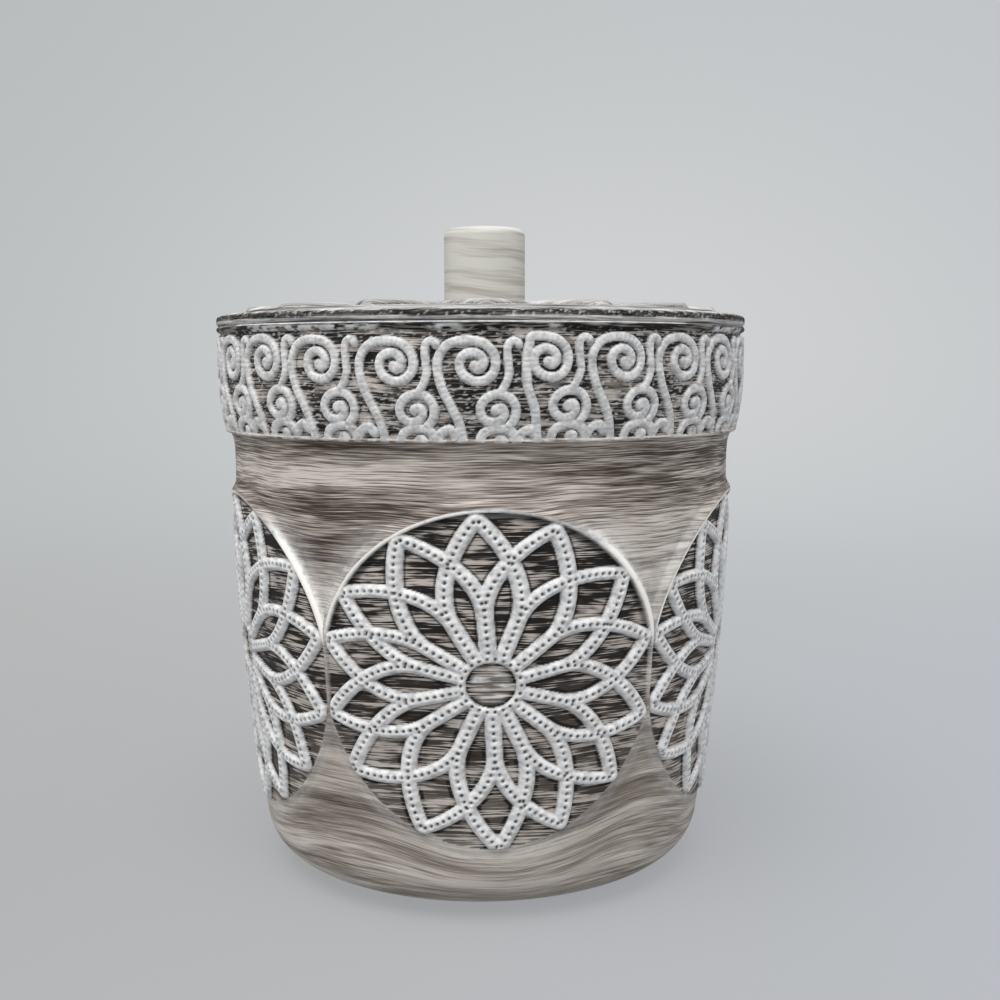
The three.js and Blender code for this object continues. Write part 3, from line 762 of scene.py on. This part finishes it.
def lid_relief(bearing, radius, z):
    """Height, lift, paint, dirt and flow of the lid: a rosette on a sunk ground, a worn shoulder and a rough
    edge with a painted shade at its foot. On its level parts the brush strokes run straight across."""
    points = np.column_stack((radius * np.sin(bearing), -radius * np.cos(bearing)))
    pit, bead, ribbon = lid_rosette(points)
    top = z > LID_TOP_Z - 0.5
    side = (radius > LID_CARVING_RADIUS - 0.1) * (z > LID_CARVING_FOOT_Z + 0.1) * ~top
    ribbon = ribbon * (top | side)
    pit = pit * top
    lift = np.where(top, -LID_GROUND_DEPTH * (1 - ribbon) - PIT_DEPTH * pit, 0)
    lift = np.where(side, -0.5 * (z - LID_CARVING_FOOT_Z) * (1 - ribbon), lift)

    worn = (radius > LID_CARVING_RADIUS + 0.2) * (z > LID_EDGE_Z - 0.1)
    rim = radius > RIM_RADIUS - 0.2
    rough = (radius > RIM_RADIUS - 0.6) * smooth(*ROUGH_FROM_Z, z) * smooth(*ROUGH_TO_Z, z)
    bright = rim * smooth(*BRIGHT_BAND_FROM_Z, z) * smooth(*BRIGHT_BAND_TO_Z, z)
    flow = points[:, 1] * (top | worn)
    grain = grain_at(np.column_stack((points, z)), 0.5, 0.3)
    streak = grain_at(np.column_stack((points, z + flow)), 9, 0.5)
    teeth = 0.5 + 0.5 * np.sin(bearing * RIM_RADIUS * 2 * math.pi / KNURL_PITCH)
    knurl = smooth(0, 0.3, wander(bearing, 9.0)) * teeth
    height = rough * (-ROUGH_DEPTH * smooth(-0.1, 0.4, grain) - KNURL_DEPTH * knurl)

    flecks = rough * smooth(0.36, 0.56, grain + 0.3 * knurl) * 0.62
    shoulder = mix(0, 0.5, smooth(-0.2, 0.25, streak)) * worn * (1 - rough)
    petals = smooth(0.35, 0.75, ribbon) * np.where(top, 0.2, 0.1 + 0.7 * smooth(0.85, 1, ribbon))
    band = bright * mix(0.2, 0.65, smooth(-0.2, 0.3, streak))
    paint_and_highlight = np.maximum.reduce((petals * (1 + 0.2 * bead), shoulder, flecks, band)) * (1 - 0.9 * pit)
    dirt_and_shade = np.maximum(0.5 * top * (ribbon < 0.5), 0.95 * rough) * (1 - smooth(0.4, 0.8, ribbon))
    # A painted shade along the foot of the lid's edge, just above the jar's rim.
    dirt_and_shade = np.maximum.reduce((dirt_and_shade, pit, 0.6 * rim * smooth(*EDGE_SHADE_Z, z)))
    return height, lift, paint_and_highlight, dirt_and_shade, flow


# Materials


def new_material(name):
    material = bpy.data.materials.new(name)
    material.use_nodes = True
    tree = material.node_tree
    return material, tree, tree.nodes["Principled BSDF"]


def set_inputs(tree, shader, inputs):
    """Links what is a socket to the input of its name, and writes any other value there."""
    for key, value in inputs.items():
        if isinstance(value, bpy.types.NodeSocket):
            tree.links.new(value, shader.inputs[key])
        else:
            shader.inputs[key].default_value = value


def node(tree, kind, inputs=None, **settings):
    made = tree.nodes.new("ShaderNode" + kind)
    for key, value in settings.items():
        setattr(made, key, value)
    set_inputs(tree, made, inputs or {})
    return made


def maths(tree, operation, first, second=0.0, third=0.0):
    return node(tree, "Math", {0: first, 1: second, 2: third}, operation=operation).outputs[0]


def ramp(tree, value, low, high, kind="SMOOTHSTEP"):
    """Stretches low to high over 0 to 1."""
    span = {"Value": value, "From Min": low, "From Max": high}
    return node(tree, "MapRange", span, interpolation_type=kind).outputs["Result"]


def blend_colour(tree, share, first, second):
    return node(tree, "Mix", {0: share, 6: first, 7: second}, data_type="RGBA").outputs[2]


def summed(tree, *parts):
    """The sum of several values, each with its weight."""
    total = 0.0
    for value, weight in parts:
        total = maths(tree, "MULTIPLY_ADD", value, weight, total)
    return total


def attribute(tree, name):
    return node(tree, "Attribute", attribute_name=name).outputs["Fac"]


def object_places(tree):
    return node(tree, "TexCoord").outputs["Object"]


def level_grain(tree, places, length, thickness, detail, start):
    """Noise drawn out level: each mark is about length long and thickness high, in millimetres."""
    scale = (1 / (length * MM), 1 / (length * MM), 1 / (thickness * MM))
    stretch = {"Vector": places, "Scale": scale, "Location": (start, start, start)}
    drawn_out = node(tree, "Mapping", stretch).outputs[0]
    grain = {"Vector": drawn_out, "Scale": 1.0, "Detail": detail, "Roughness": 0.55}
    return node(tree, "TexNoise", grain).outputs["Fac"]


def wavy_places(tree, sway):
    """Object places whose height sways gently along the wall and follows the flow round the medallions."""
    places = object_places(tree)
    swell = node(tree, "TexNoise", {"Vector": places, "Scale": 45.0, "Detail": 1.0}).outputs["Fac"]
    x, y, z = node(tree, "SeparateXYZ", {0: places}).outputs
    sway_height = maths(tree, "MULTIPLY", maths(tree, "SUBTRACT", swell, 0.5), sway * MM)
    height = maths(tree, "MULTIPLY_ADD", attribute(tree, "flow"), MM, maths(tree, "ADD", z, sway_height))
    return node(tree, "CombineXYZ", {0: x, 1: y, 2: height}).outputs[0]


def bump(tree, height, strength, distance):
    pressed = {"Height": height, "Strength": strength, "Distance": distance * MM}
    return node(tree, "Bump", pressed).outputs[0]


def srgb(*levels):
    """The colour that shows as these levels of 0 to 255."""
    linear = [(v / 255 / 12.92) if v <= 10 else ((v / 255 + 0.055) / 1.055) ** 2.4 for v in levels]
    return (*linear, 1.0)


RESIN_DARK = srgb(60, 51, 45)
RESIN_MIDDLE = srgb(136, 127, 119)
RESIN_LIGHT = srgb(206, 199, 191)
# Deepest ground: painted shadow and shade lines by the relief, also darkened pits and the lid's rough edge.
GROUND_DEEP = srgb(12, 10, 9)
GROUND_DARK = srgb(26, 21, 19)
GROUND_LIGHT = srgb(188, 180, 173)
WASH_THIN = srgb(180, 181, 183)
WASH_THICK = srgb(224, 225, 226)
# The whitest wash: whitewash brightened into a painted highlight on the medallions' crests.
WASH_WHITE_HIGHLIGHT = srgb(248, 243, 236)
KNOB_STREAK = srgb(164, 160, 152)
KNOB_WASH = srgb(197, 196, 190)

# Brush marks: their length and thickness, how many finer layers they have, and where in the noise they start
BROAD_STREAKS = (50, 4.2, 2.0, 3.0)
MEDIUM_STREAKS = (18, 0.8, 2.0, 7.0)
FINE_STREAKS = (8, 0.21, 2.0, 11.0)
GROUND_CLOUDS = (6, 1.5, 2.0, 13.0)
WASH_PATCHES = (1.5, 1.0, 3.0, 5.0)
KNOB_FINE_STREAKS = (12, 0.4, 2.0, 2.0)
KNOB_BROAD_STREAKS = (24, 1.3, 2.0, 9.0)
WALL_SWAY = 2.5
KNOB_SWAY = 3

# Where a colour starts to change and has changed, over the noise or over the amount of dirt, shade or paint
RESIN_TONES = (0.38, 0.6, 0.84)
GROUND_LINES = (0.86, 0.97)
DIRT_AND_SHADE_POOLED = (0.1, 0.6)
DIRT_AND_SHADE_DEEP = (0.65, 0.95)
WASH_STARTS = (0.15, 0.35)
WASH_THICKENS = (0.3, 0.65)
# Paint past 1, mostly on the medallions' crests, whitens into a painted highlight.
WASH_WHITENS = (1.0, 1.4)
KNOB_STROKES = (0.34, 0.54)

# Heights on the jar and the lid where a finish starts to change and has changed
SCRATCHED_Z = (25, 84)
FOOT_WORN_Z = (4, 26)
OVER_RIM_Z = (RIM_Z, RIM_Z + 1)
LID_GREYED_Z = (RIM_Z, RIM_Z + 0.2)


def height_ramp(tree, height, low, high):
    return ramp(tree, height, low * MM, high * MM)


def bare_wall(tree, height, broad, medium, fine):
    """Streaked resin, more scratched up the wall, lighter at the foot and greyer on the lid. Gives its colour
    and its scratches."""
    scratched = maths(tree, "MULTIPLY_ADD", height_ramp(tree, height, *SCRATCHED_Z), 0.65, 0.5)
    scratched = maths(tree, "MULTIPLY_ADD", height_ramp(tree, height, *OVER_RIM_Z), -0.6, scratched)
    scratches = maths(tree, "MULTIPLY", maths(tree, "SUBTRACT", fine, 0.5), scratched)
    foot = maths(tree, "SUBTRACT", 1.0, height_ramp(tree, height, *FOOT_WORN_Z))
    tone = summed(tree, (broad, 0.9), (medium, 0.35), (scratches, 1.2), (foot, 0.08))
    dark, middle, light = RESIN_TONES
    wall = blend_colour(tree, ramp(tree, tone, dark, middle, "LINEAR"), RESIN_DARK, RESIN_MIDDLE)
    wall = blend_colour(tree, ramp(tree, tone, middle, light, "LINEAR"), wall, RESIN_LIGHT)
    grey = node(tree, "RGBToBW", {"Color": wall}).outputs[0]
    greyed = maths(tree, "MULTIPLY", height_ramp(tree, height, *LID_GREYED_Z), 0.85)
    return blend_colour(tree, greyed, wall, grey), scratches


def dirty_shaded_ground(tree, wall, dirt_and_shade, medium, fine, clouds):
    """The wall's colour where it is clean, and dark pools with light streaks where dirt and painted shade
    lie.
    """
    lines = ramp(tree, summed(tree, (fine, 0.75), (medium, 0.4), (clouds, 0.6)), *GROUND_LINES)
    pooled = blend_colour(tree, lines, GROUND_DARK, GROUND_LIGHT)
    deep = blend_colour(tree, maths(tree, "MULTIPLY", lines, 0.25), GROUND_DEEP, GROUND_LIGHT)
    pooled = blend_colour(tree, ramp(tree, dirt_and_shade, *DIRT_AND_SHADE_DEEP), pooled, deep)
    return blend_colour(tree, ramp(tree, dirt_and_shade, *DIRT_AND_SHADE_POOLED), wall, pooled)


def whitewashed(name):
    """Dark resin under level, dry-brushed whitewash: paint on the relief with painted highlights, and dirt
    with painted shade in the sunk ground.
    """
    material, tree, shader = new_material(name)
    places = wavy_places(tree, WALL_SWAY)
    height = node(tree, "SeparateXYZ", {0: object_places(tree)}).outputs["Z"]
    broad = level_grain(tree, places, *BROAD_STREAKS)
    medium = level_grain(tree, places, *MEDIUM_STREAKS)
    fine = level_grain(tree, places, *FINE_STREAKS)
    clouds = level_grain(tree, places, *GROUND_CLOUDS)
    patches = level_grain(tree, places, *WASH_PATCHES)
    paint_and_highlight = attribute(tree, "paint_and_highlight")
    wall, scratches = bare_wall(tree, height, broad, medium, fine)
    ground = dirty_shaded_ground(tree, wall, attribute(tree, "dirt_and_shade"), medium, fine, clouds)
    coat = maths(tree, "MULTIPLY", maths(tree, "MINIMUM", paint_and_highlight, 1.0), ramp(tree, patches, *WASH_STARTS))
    wash = blend_colour(tree, ramp(tree, patches, *WASH_THICKENS), WASH_THIN, WASH_THICK)
    # Paint past 1 turns white: the painted highlight on the crests.
    wash = blend_colour(tree, ramp(tree, paint_and_highlight, *WASH_WHITENS), wash, WASH_WHITE_HIGHLIGHT)
    bare = maths(tree, "SUBTRACT", 1.0, coat)
    grooves = maths(tree, "MULTIPLY", summed(tree, (scratches, 0.8), (medium, 0.6)), bare)
    set_inputs(tree, shader, {
        "Base Color": blend_colour(tree, coat, ground, wash),
        "Normal": bump(tree, grooves, 0.7, 0.16),
        "Roughness": 0.62,
        "Specular IOR Level": 0.25,
    })
    return material


def brushed_knob():
    """Off-white wash with fine grey-brown strokes that run nearly level."""
    material, tree, shader = new_material("knob_whitewash")
    x, y, z = node(tree, "SeparateXYZ", {0: wavy_places(tree, KNOB_SWAY)}).outputs
    slant = maths(tree, "MULTIPLY_ADD", x, KNOB_STROKE_SLANT, z)
    places = node(tree, "CombineXYZ", {0: x, 1: y, 2: slant}).outputs[0]
    fine = level_grain(tree, places, *KNOB_FINE_STREAKS)
    broad = level_grain(tree, places, *KNOB_BROAD_STREAKS)
    strokes = ramp(tree, summed(tree, (fine, 0.35), (broad, 0.65)), *KNOB_STROKES)
    colour = blend_colour(tree, strokes, KNOB_STREAK, KNOB_WASH)
    set_inputs(tree, shader, {"Base Color": colour, "Normal": bump(tree, fine, 0.25, 0.1), "Roughness": 0.5})
    return material


def mottled(name, dark, light, grain, roughness, metallic=0.0):
    """A plain finish with soft mottling and a fine grain, in millimetres."""
    material, tree, shader = new_material(name)
    mottling = {"Vector": object_places(tree), "Scale": 1 / (grain * MM), "Detail": 5.0}
    cloud = node(tree, "TexNoise", mottling).outputs["Fac"]
    colour = blend_colour(tree, ramp(tree, cloud, 0.3, 0.7), dark, light)
    normal = bump(tree, cloud, 0.3, 0.05)
    finish = {"Base Color": colour, "Normal": normal, "Roughness": roughness, "Metallic": metallic}
    set_inputs(tree, shader, finish)
    return material


jar_finish = whitewashed("jar_whitewash")
lid_finish = whitewashed("lid_whitewash")
inner_finish = mottled("bare_resin", srgb(88, 80, 75), srgb(112, 104, 98), 6, 0.7)
knob_finish = brushed_knob()
pad_finish = mottled("base_rubber", srgb(34, 33, 32), srgb(48, 47, 46), 1.2, 0.9)
steel_finish = mottled("zinc_plate", srgb(176, 178, 180), srgb(202, 203, 205), 2, 0.35, 1.0)

# Jar


def build_jar_core():
    """The inside, the flat foot and what lies under the wall panels and the collar."""
    taper = math.atan2(MOUTH_RADIUS - FLOOR_RADIUS, RIM_Z - FLOOR_Z)
    round_z = FLOOR_Z + FLOOR_ROUND
    floor_round = (bore_radius(round_z) - FLOOR_ROUND / math.cos(taper), round_z)
    mouth_start = (bore_radius(RIM_Z - MOUTH_ROUND), RIM_Z - MOUTH_ROUND)
    behind_wall = wall_profile(-CORE_DEPTH)
    behind_wall = behind_wall[behind_wall[:, 1] < WALL_TOP_Z]
    profile = np.vstack((
        (0, FLOOR_Z),
        arc(floor_round, FLOOR_ROUND, -math.pi / 2, -taper, steps=10),
        bend(mouth_start, (MOUTH_RADIUS, RIM_Z), (MOUTH_RADIUS + MOUTH_ROUND, RIM_Z), steps=6),
        (RIM_JOIN_RADIUS, RIM_Z),
        (RIM_JOIN_RADIUS + RIM_JOIN_LAP, RIM_Z - RIM_JOIN_LAP_DEPTH),
        (RIM_RADIUS - CORE_DEPTH, RIM_Z - CORE_DEPTH),
        (COLLAR_LIP_RADIUS - CORE_DEPTH, COLLAR_LIP_Z + CORE_DEPTH),
        (WALL_TOP_RADIUS - CORE_DEPTH, WALL_TOP_Z),
        behind_wall[::-1],
        (FOOT_FLAT_RADIUS, FOOT_Z),
        (0, FOOT_Z),
    ))
    jar_core = finish_piece(spun("jar_core", profile), "jar", inner_finish)
    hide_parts("jar_body")


def build_wall_panels():
    """One panel with its medallion in front, and the same panel turned round the jar for the others."""
    wall = wall_profile()
    reach = along(wall)
    carved = (MEDALLION_Z - CARVED_REACH, MEDALLION_Z + CARVED_REACH)
    rows = row_reaches(reach[-1], *np.interp(carved, wall[:, 1], reach), WALL_CELL)
    columns = round(2 * math.pi * WALL_MEAN_RADIUS / MEDALLION_COUNT / WALL_CELL)
    half_turn = 180 / MEDALLION_COUNT
    behind = wall_profile(-PANEL_DEPTH)[::-PANEL_BACK_STEP]
    panel = slab("wall_panel_1", columns, len(rows) - 1, len(behind))
    wrapped(panel, wall, rows, -half_turn, half_turn, behind, medallion_relief)
    finish_piece(panel, "jar", jar_finish)
    for i in range(1, MEDALLION_COUNT):
        turned = new_object(f"wall_panel_{i + 1}", panel.data.copy())
        turned.data.transform(Matrix.Rotation(2 * math.pi * i / MEDALLION_COUNT, 4, "Z"))
        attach(turned, "jar")


def build_collar():
    collar = collar_profile()
    rows = np.linspace(0, along(collar)[-1], round(along(collar)[-1] / COLLAR_CELL))
    columns = round(2 * math.pi * RIM_RADIUS / COLLAR_PARTS / COLLAR_CELL)
    turn = 360 / COLLAR_PARTS
    behind = [(RIM_JOIN_RADIUS, RIM_Z - RIM_JOIN_DEPTH)]
    for i in range(COLLAR_PARTS):
        part = slab(f"collar_{i + 1}", columns, len(rows) - 1)
        wrapped(part, collar, rows, turn * i - turn / 2, turn * i + turn / 2, behind, collar_relief)
        finish_piece(part, "jar", jar_finish)


def build_base_pad():
    rounded = (pad_high[0] - PAD_EDGE_ROUND, pad_low[2] + PAD_EDGE_ROUND)
    edge = arc(rounded, PAD_EDGE_ROUND, -math.pi / 2, 0, steps=4)
    profile = np.vstack(((0, pad_low[2]), edge, (pad_high[0], pad_high[2]), (0, pad_high[2])))
    base_pad = finish_piece(spun("base_rubber_pad", profile), "jar", pad_finish)
    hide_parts("base_pad")


# Lid


def build_lid_carving():
    top = lid_top_profile()
    rows = np.linspace(0, along(top)[-1], round(along(top)[-1] / LID_CELL * LID_ROWS_PER_CELL))
    columns = round(math.pi * LID_MEAN_RADIUS / LID_CELL)
    turn = 360 / LID_PARTS
    behind = [(LID_HOLE_RADIUS, RIM_Z + LID_TUCK_HEIGHT)]
    for i in range(LID_PARTS):
        half = slab(f"lid_carving_{i + 1}", columns, len(rows) - 1)
        wrapped(
            half, top[::-1], rows, turn * i, turn * (i + 1), behind, lid_relief, strokes_follow_profile=False
        )
        finish_piece(half, "lid", lid_finish)


def build_lid_core():
    """The lid's underside with its locating flange, and what lies under the carving."""
    flange_radius = bore_radius(FLANGE_Z) - FLANGE_CLEARANCE
    core_z = RIM_Z - LID_CORE_DEPTH
    profile = np.array((
        (HOLE_RADIUS, core_z),
        (flange_radius - FLANGE_WIDTH, core_z),
        (flange_radius - FLANGE_WIDTH, FLANGE_Z),
        (flange_radius - FLANGE_CHAMFER, FLANGE_Z),
        (flange_radius, FLANGE_Z + FLANGE_CHAMFER),
        (flange_radius, RIM_Z),
        (RIM_RADIUS - LID_EDGE_CHAMFER, RIM_Z),
        (RIM_RADIUS - LID_CORE_EDGE_WIDTH, RIM_Z + LID_CORE_EDGE),
        (RIM_RADIUS - LID_CORE_LEDGE_WIDTH, RIM_Z + LID_CORE_LEDGE),
        (HOLE_RADIUS, RIM_Z + LID_CORE_TOP),
        (HOLE_RADIUS, core_z),
    ))
    lid_core = finish_piece(spun("lid_core", profile), "lid", inner_finish)
    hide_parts("lid")


# Knob and what holds it


def build_knob():
    """The knob, which stands a little off the jar's axis round a bore that stays on it."""
    radius = knob_high[0]
    bore_end = screw_high[2] + KNOB_BORE_SPARE
    top_round = (radius - KNOB_TOP_ROUND, knob_high[2] - KNOB_TOP_ROUND)
    profile = np.vstack((
        (0, bore_end),
        (HOLE_RADIUS, bore_end),
        (HOLE_RADIUS, knob_low[2]),
        (radius - KNOB_FOOT_CHAMFER, knob_low[2]),
        (radius, knob_low[2] + KNOB_FOOT_CHAMFER),
        arc(top_round, KNOB_TOP_ROUND, 0, math.pi / 2, steps=10),
        (0, knob_high[2]),
    ))
    knob = finish_piece(spun("turned_knob", profile, KNOB_STEPS), "lid", knob_finish)
    for vertex in knob.data.vertices:
        if vertex.co.xy.length > (HOLE_RADIUS + HOLE_LAND) * MM:
            vertex.co.x += KNOB_SHIFT * MM
    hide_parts("knob")


def build_washer():
    radius = washer_high[0]
    profile = np.array((
        (HOLE_RADIUS, washer_low[2]),
        (radius - WASHER_CHAMFER, washer_low[2]),
        (radius, washer_low[2] + WASHER_CHAMFER),
        (radius, washer_high[2]),
        (HOLE_RADIUS, washer_high[2]),
        (HOLE_RADIUS, washer_low[2]),
    ))
    washer = finish_piece(spun("plain_washer", profile, WASHER_STEPS), "lid", steel_finish)
    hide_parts("knob_washer")


build_jar_core()
build_wall_panels()
build_collar()
build_base_pad()
build_lid_carving()
build_lid_core()
build_knob()
build_washer()
screw_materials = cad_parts["knob_screw"].data.materials
screw_materials.clear()
screw_materials.append(steel_finish)

# Floor, backdrop, light and camera. The sizes of the sweep and of the lamp are in metres.

SWEEP_WIDTH = 2.4
SWEEP_HEIGHT = 2.2
FLOOR_FRONT = -1.2
BACKDROP_BACK = 0.9
SWEEP_ROUND = 0.5
BACKDROP_RISE = (1.15, 1.85)
GLOW_ASIDE = 0.12
GLOW_ASIDE_WIDTH = 0.3
GLOW_UP = 1.95
GLOW_UP_WIDTH = 0.25
BACKDROP_EVENNESS = 0.65
BLACK = srgb(0, 0, 0)
FLOOR_LEFT = srgb(182, 183, 184)
FLOOR_RIGHT = srgb(190, 193, 198)
BACKDROP_LEFT = srgb(191, 194, 194)
BACKDROP_RIGHT = srgb(202, 205, 208)
BACKDROP_GLOW = srgb(212, 214, 215)


def sweep_mesh():
    """A floor that bends up into a backdrop, marked with how far it has risen, how far right it lies and how
    much of the light patch behind the jar it has."""
    bm = bmesh.new()
    bend_start = BACKDROP_BACK - SWEEP_ROUND
    line = [(y, 0) for y in np.linspace(FLOOR_FRONT, bend_start, 12)]
    for a in np.linspace(0.1, math.pi / 2, 14):
        line.append((bend_start + SWEEP_ROUND * math.sin(a), SWEEP_ROUND - SWEEP_ROUND * math.cos(a)))
    line.append((BACKDROP_BACK, SWEEP_HEIGHT))
    bmesh.ops.create_grid(bm, x_segments=24, y_segments=len(line) - 1, size=0.5)
    for vertex in bm.verts:
        y, z = line[round((vertex.co.y + 0.5) * (len(line) - 1))]
        vertex.co = (vertex.co.x * SWEEP_WIDTH, y, z)
    mesh = smooth_mesh(bm, "studio_sweep")
    x, y, z = vertex_places(mesh).T
    reach = np.interp(y + z, np.sum(line, axis=1), along(np.array(line)))
    aside = x / (y + 0.3).clip(0.1)
    glow = -(((aside - GLOW_ASIDE) / GLOW_ASIDE_WIDTH) ** 2) - ((reach - GLOW_UP) / GLOW_UP_WIDTH) ** 2
    mark(mesh, "rise", smooth(*BACKDROP_RISE, reach))
    mark(mesh, "side", smooth(-0.45, 0.45, aside))
    mark(mesh, "glow", np.exp(glow))
    return mesh


def studio_grey():
    """Pale grey. The camera and reflections see it mostly as it is written, and the rest takes the shadow."""
    material, tree, shader = new_material("studio_grey")
    rise = attribute(tree, "rise")
    right = attribute(tree, "side")
    floor = blend_colour(tree, right, FLOOR_LEFT, FLOOR_RIGHT)
    backdrop = blend_colour(tree, right, BACKDROP_LEFT, BACKDROP_RIGHT)
    shown = blend_colour(tree, rise, floor, backdrop)
    shown = blend_colour(tree, attribute(tree, "glow"), shown, BACKDROP_GLOW)
    dimmed = blend_colour(tree, maths(tree, "MULTIPLY_ADD", rise, -0.126, 0.37), shown, BLACK)
    set_inputs(tree, shader, {"Base Color": dimmed, "Roughness": 1.0, "Specular IOR Level": 0.0})
    seen = node(tree, "LightPath")
    straight = maths(tree, "MAXIMUM", seen.outputs["Is Camera Ray"], seen.outputs["Is Glossy Ray"])
    straight = maths(tree, "MAXIMUM", straight, seen.outputs["Is Transmission Ray"])
    plain = node(tree, "Emission", {"Color": shown}).outputs[0]
    share = maths(tree, "MULTIPLY", straight, BACKDROP_EVENNESS)
    mixed = node(tree, "MixShader", {0: share, 1: shader.outputs[0], 2: plain})
    tree.links.new(mixed.outputs[0], tree.nodes["Material Output"].inputs["Surface"])
    return material


def build_studio():
    """A pale sweep under and behind the jar, a little lighter to the right and towards its top."""
    sweep_object = new_object("studio_sweep", sweep_mesh())
    sweep_object.data.materials.append(studio_grey())


LAMP_PLACE = np.array((-0.15, -0.35, 1.0))
LAMP_AIM = np.array((0, 0, 0.06))
LAMP_SIZE = 0.9
LAMP_WATTS = 11.4
LAMP_COLOUR = (1.0, 0.985, 0.965)
ROOM_COLOUR = (0.99, 0.995, 1.0, 1.0)
ROOM_STRENGTH = 0.79


def build_light():
    """One large soft lamp over the jar's left shoulder, in a softly lit room."""
    lamp = bpy.data.lights.new("overhead_softbox", "AREA")
    lamp.shape = "DISK"
    lamp.size = LAMP_SIZE
    lamp.energy = LAMP_WATTS
    lamp.color = LAMP_COLOUR
    holder = new_object("overhead_softbox", lamp)
    holder.location = LAMP_PLACE
    holder.rotation_euler = Vector(LAMP_AIM - LAMP_PLACE).to_track_quat("-Z", "Y").to_euler()
    world = bpy.data.worlds.new("soft_room")
    world.use_nodes = True
    room = world.node_tree
    set_inputs(room, room.nodes["Background"], {"Color": ROOM_COLOUR, "Strength": ROOM_STRENGTH})
    bpy.context.scene.world = world


PHOTO_SIZE = 1000
FOCAL_PIXELS = 1300
AXIS_PIXEL = 481.41
SENSOR_WIDTH = 36
EYE_DISTANCE = 262.8
EYE_Z = 98.31
EYE_BEARING = math.radians(-1.815)
PITCH_DOWN = math.radians(6.004)
ROLL = math.radians(0.0747)


def build_camera():
    """The camera where the photo was taken from, with the jar's axis at the photo's pixel."""
    camera_data = bpy.data.cameras.new("photo_camera")
    camera_data.sensor_width = SENSOR_WIDTH
    camera_data.lens = camera_data.sensor_width * FOCAL_PIXELS / PHOTO_SIZE
    camera_data.clip_start = 0.01
    camera = new_object("photo_camera", camera_data)
    camera.location = (
        EYE_DISTANCE * math.sin(EYE_BEARING) * MM,
        -EYE_DISTANCE * math.cos(EYE_BEARING) * MM,
        EYE_Z * MM,
    )
    turn_right = math.atan((PHOTO_SIZE / 2 - AXIS_PIXEL) / FOCAL_PIXELS)
    camera.rotation_euler = (math.pi / 2 - PITCH_DOWN, ROLL, EYE_BEARING - turn_right)
    bpy.context.scene.camera = camera


build_studio()
build_light()
build_camera()
bpy.context.scene.view_settings.view_transform = "Standard"
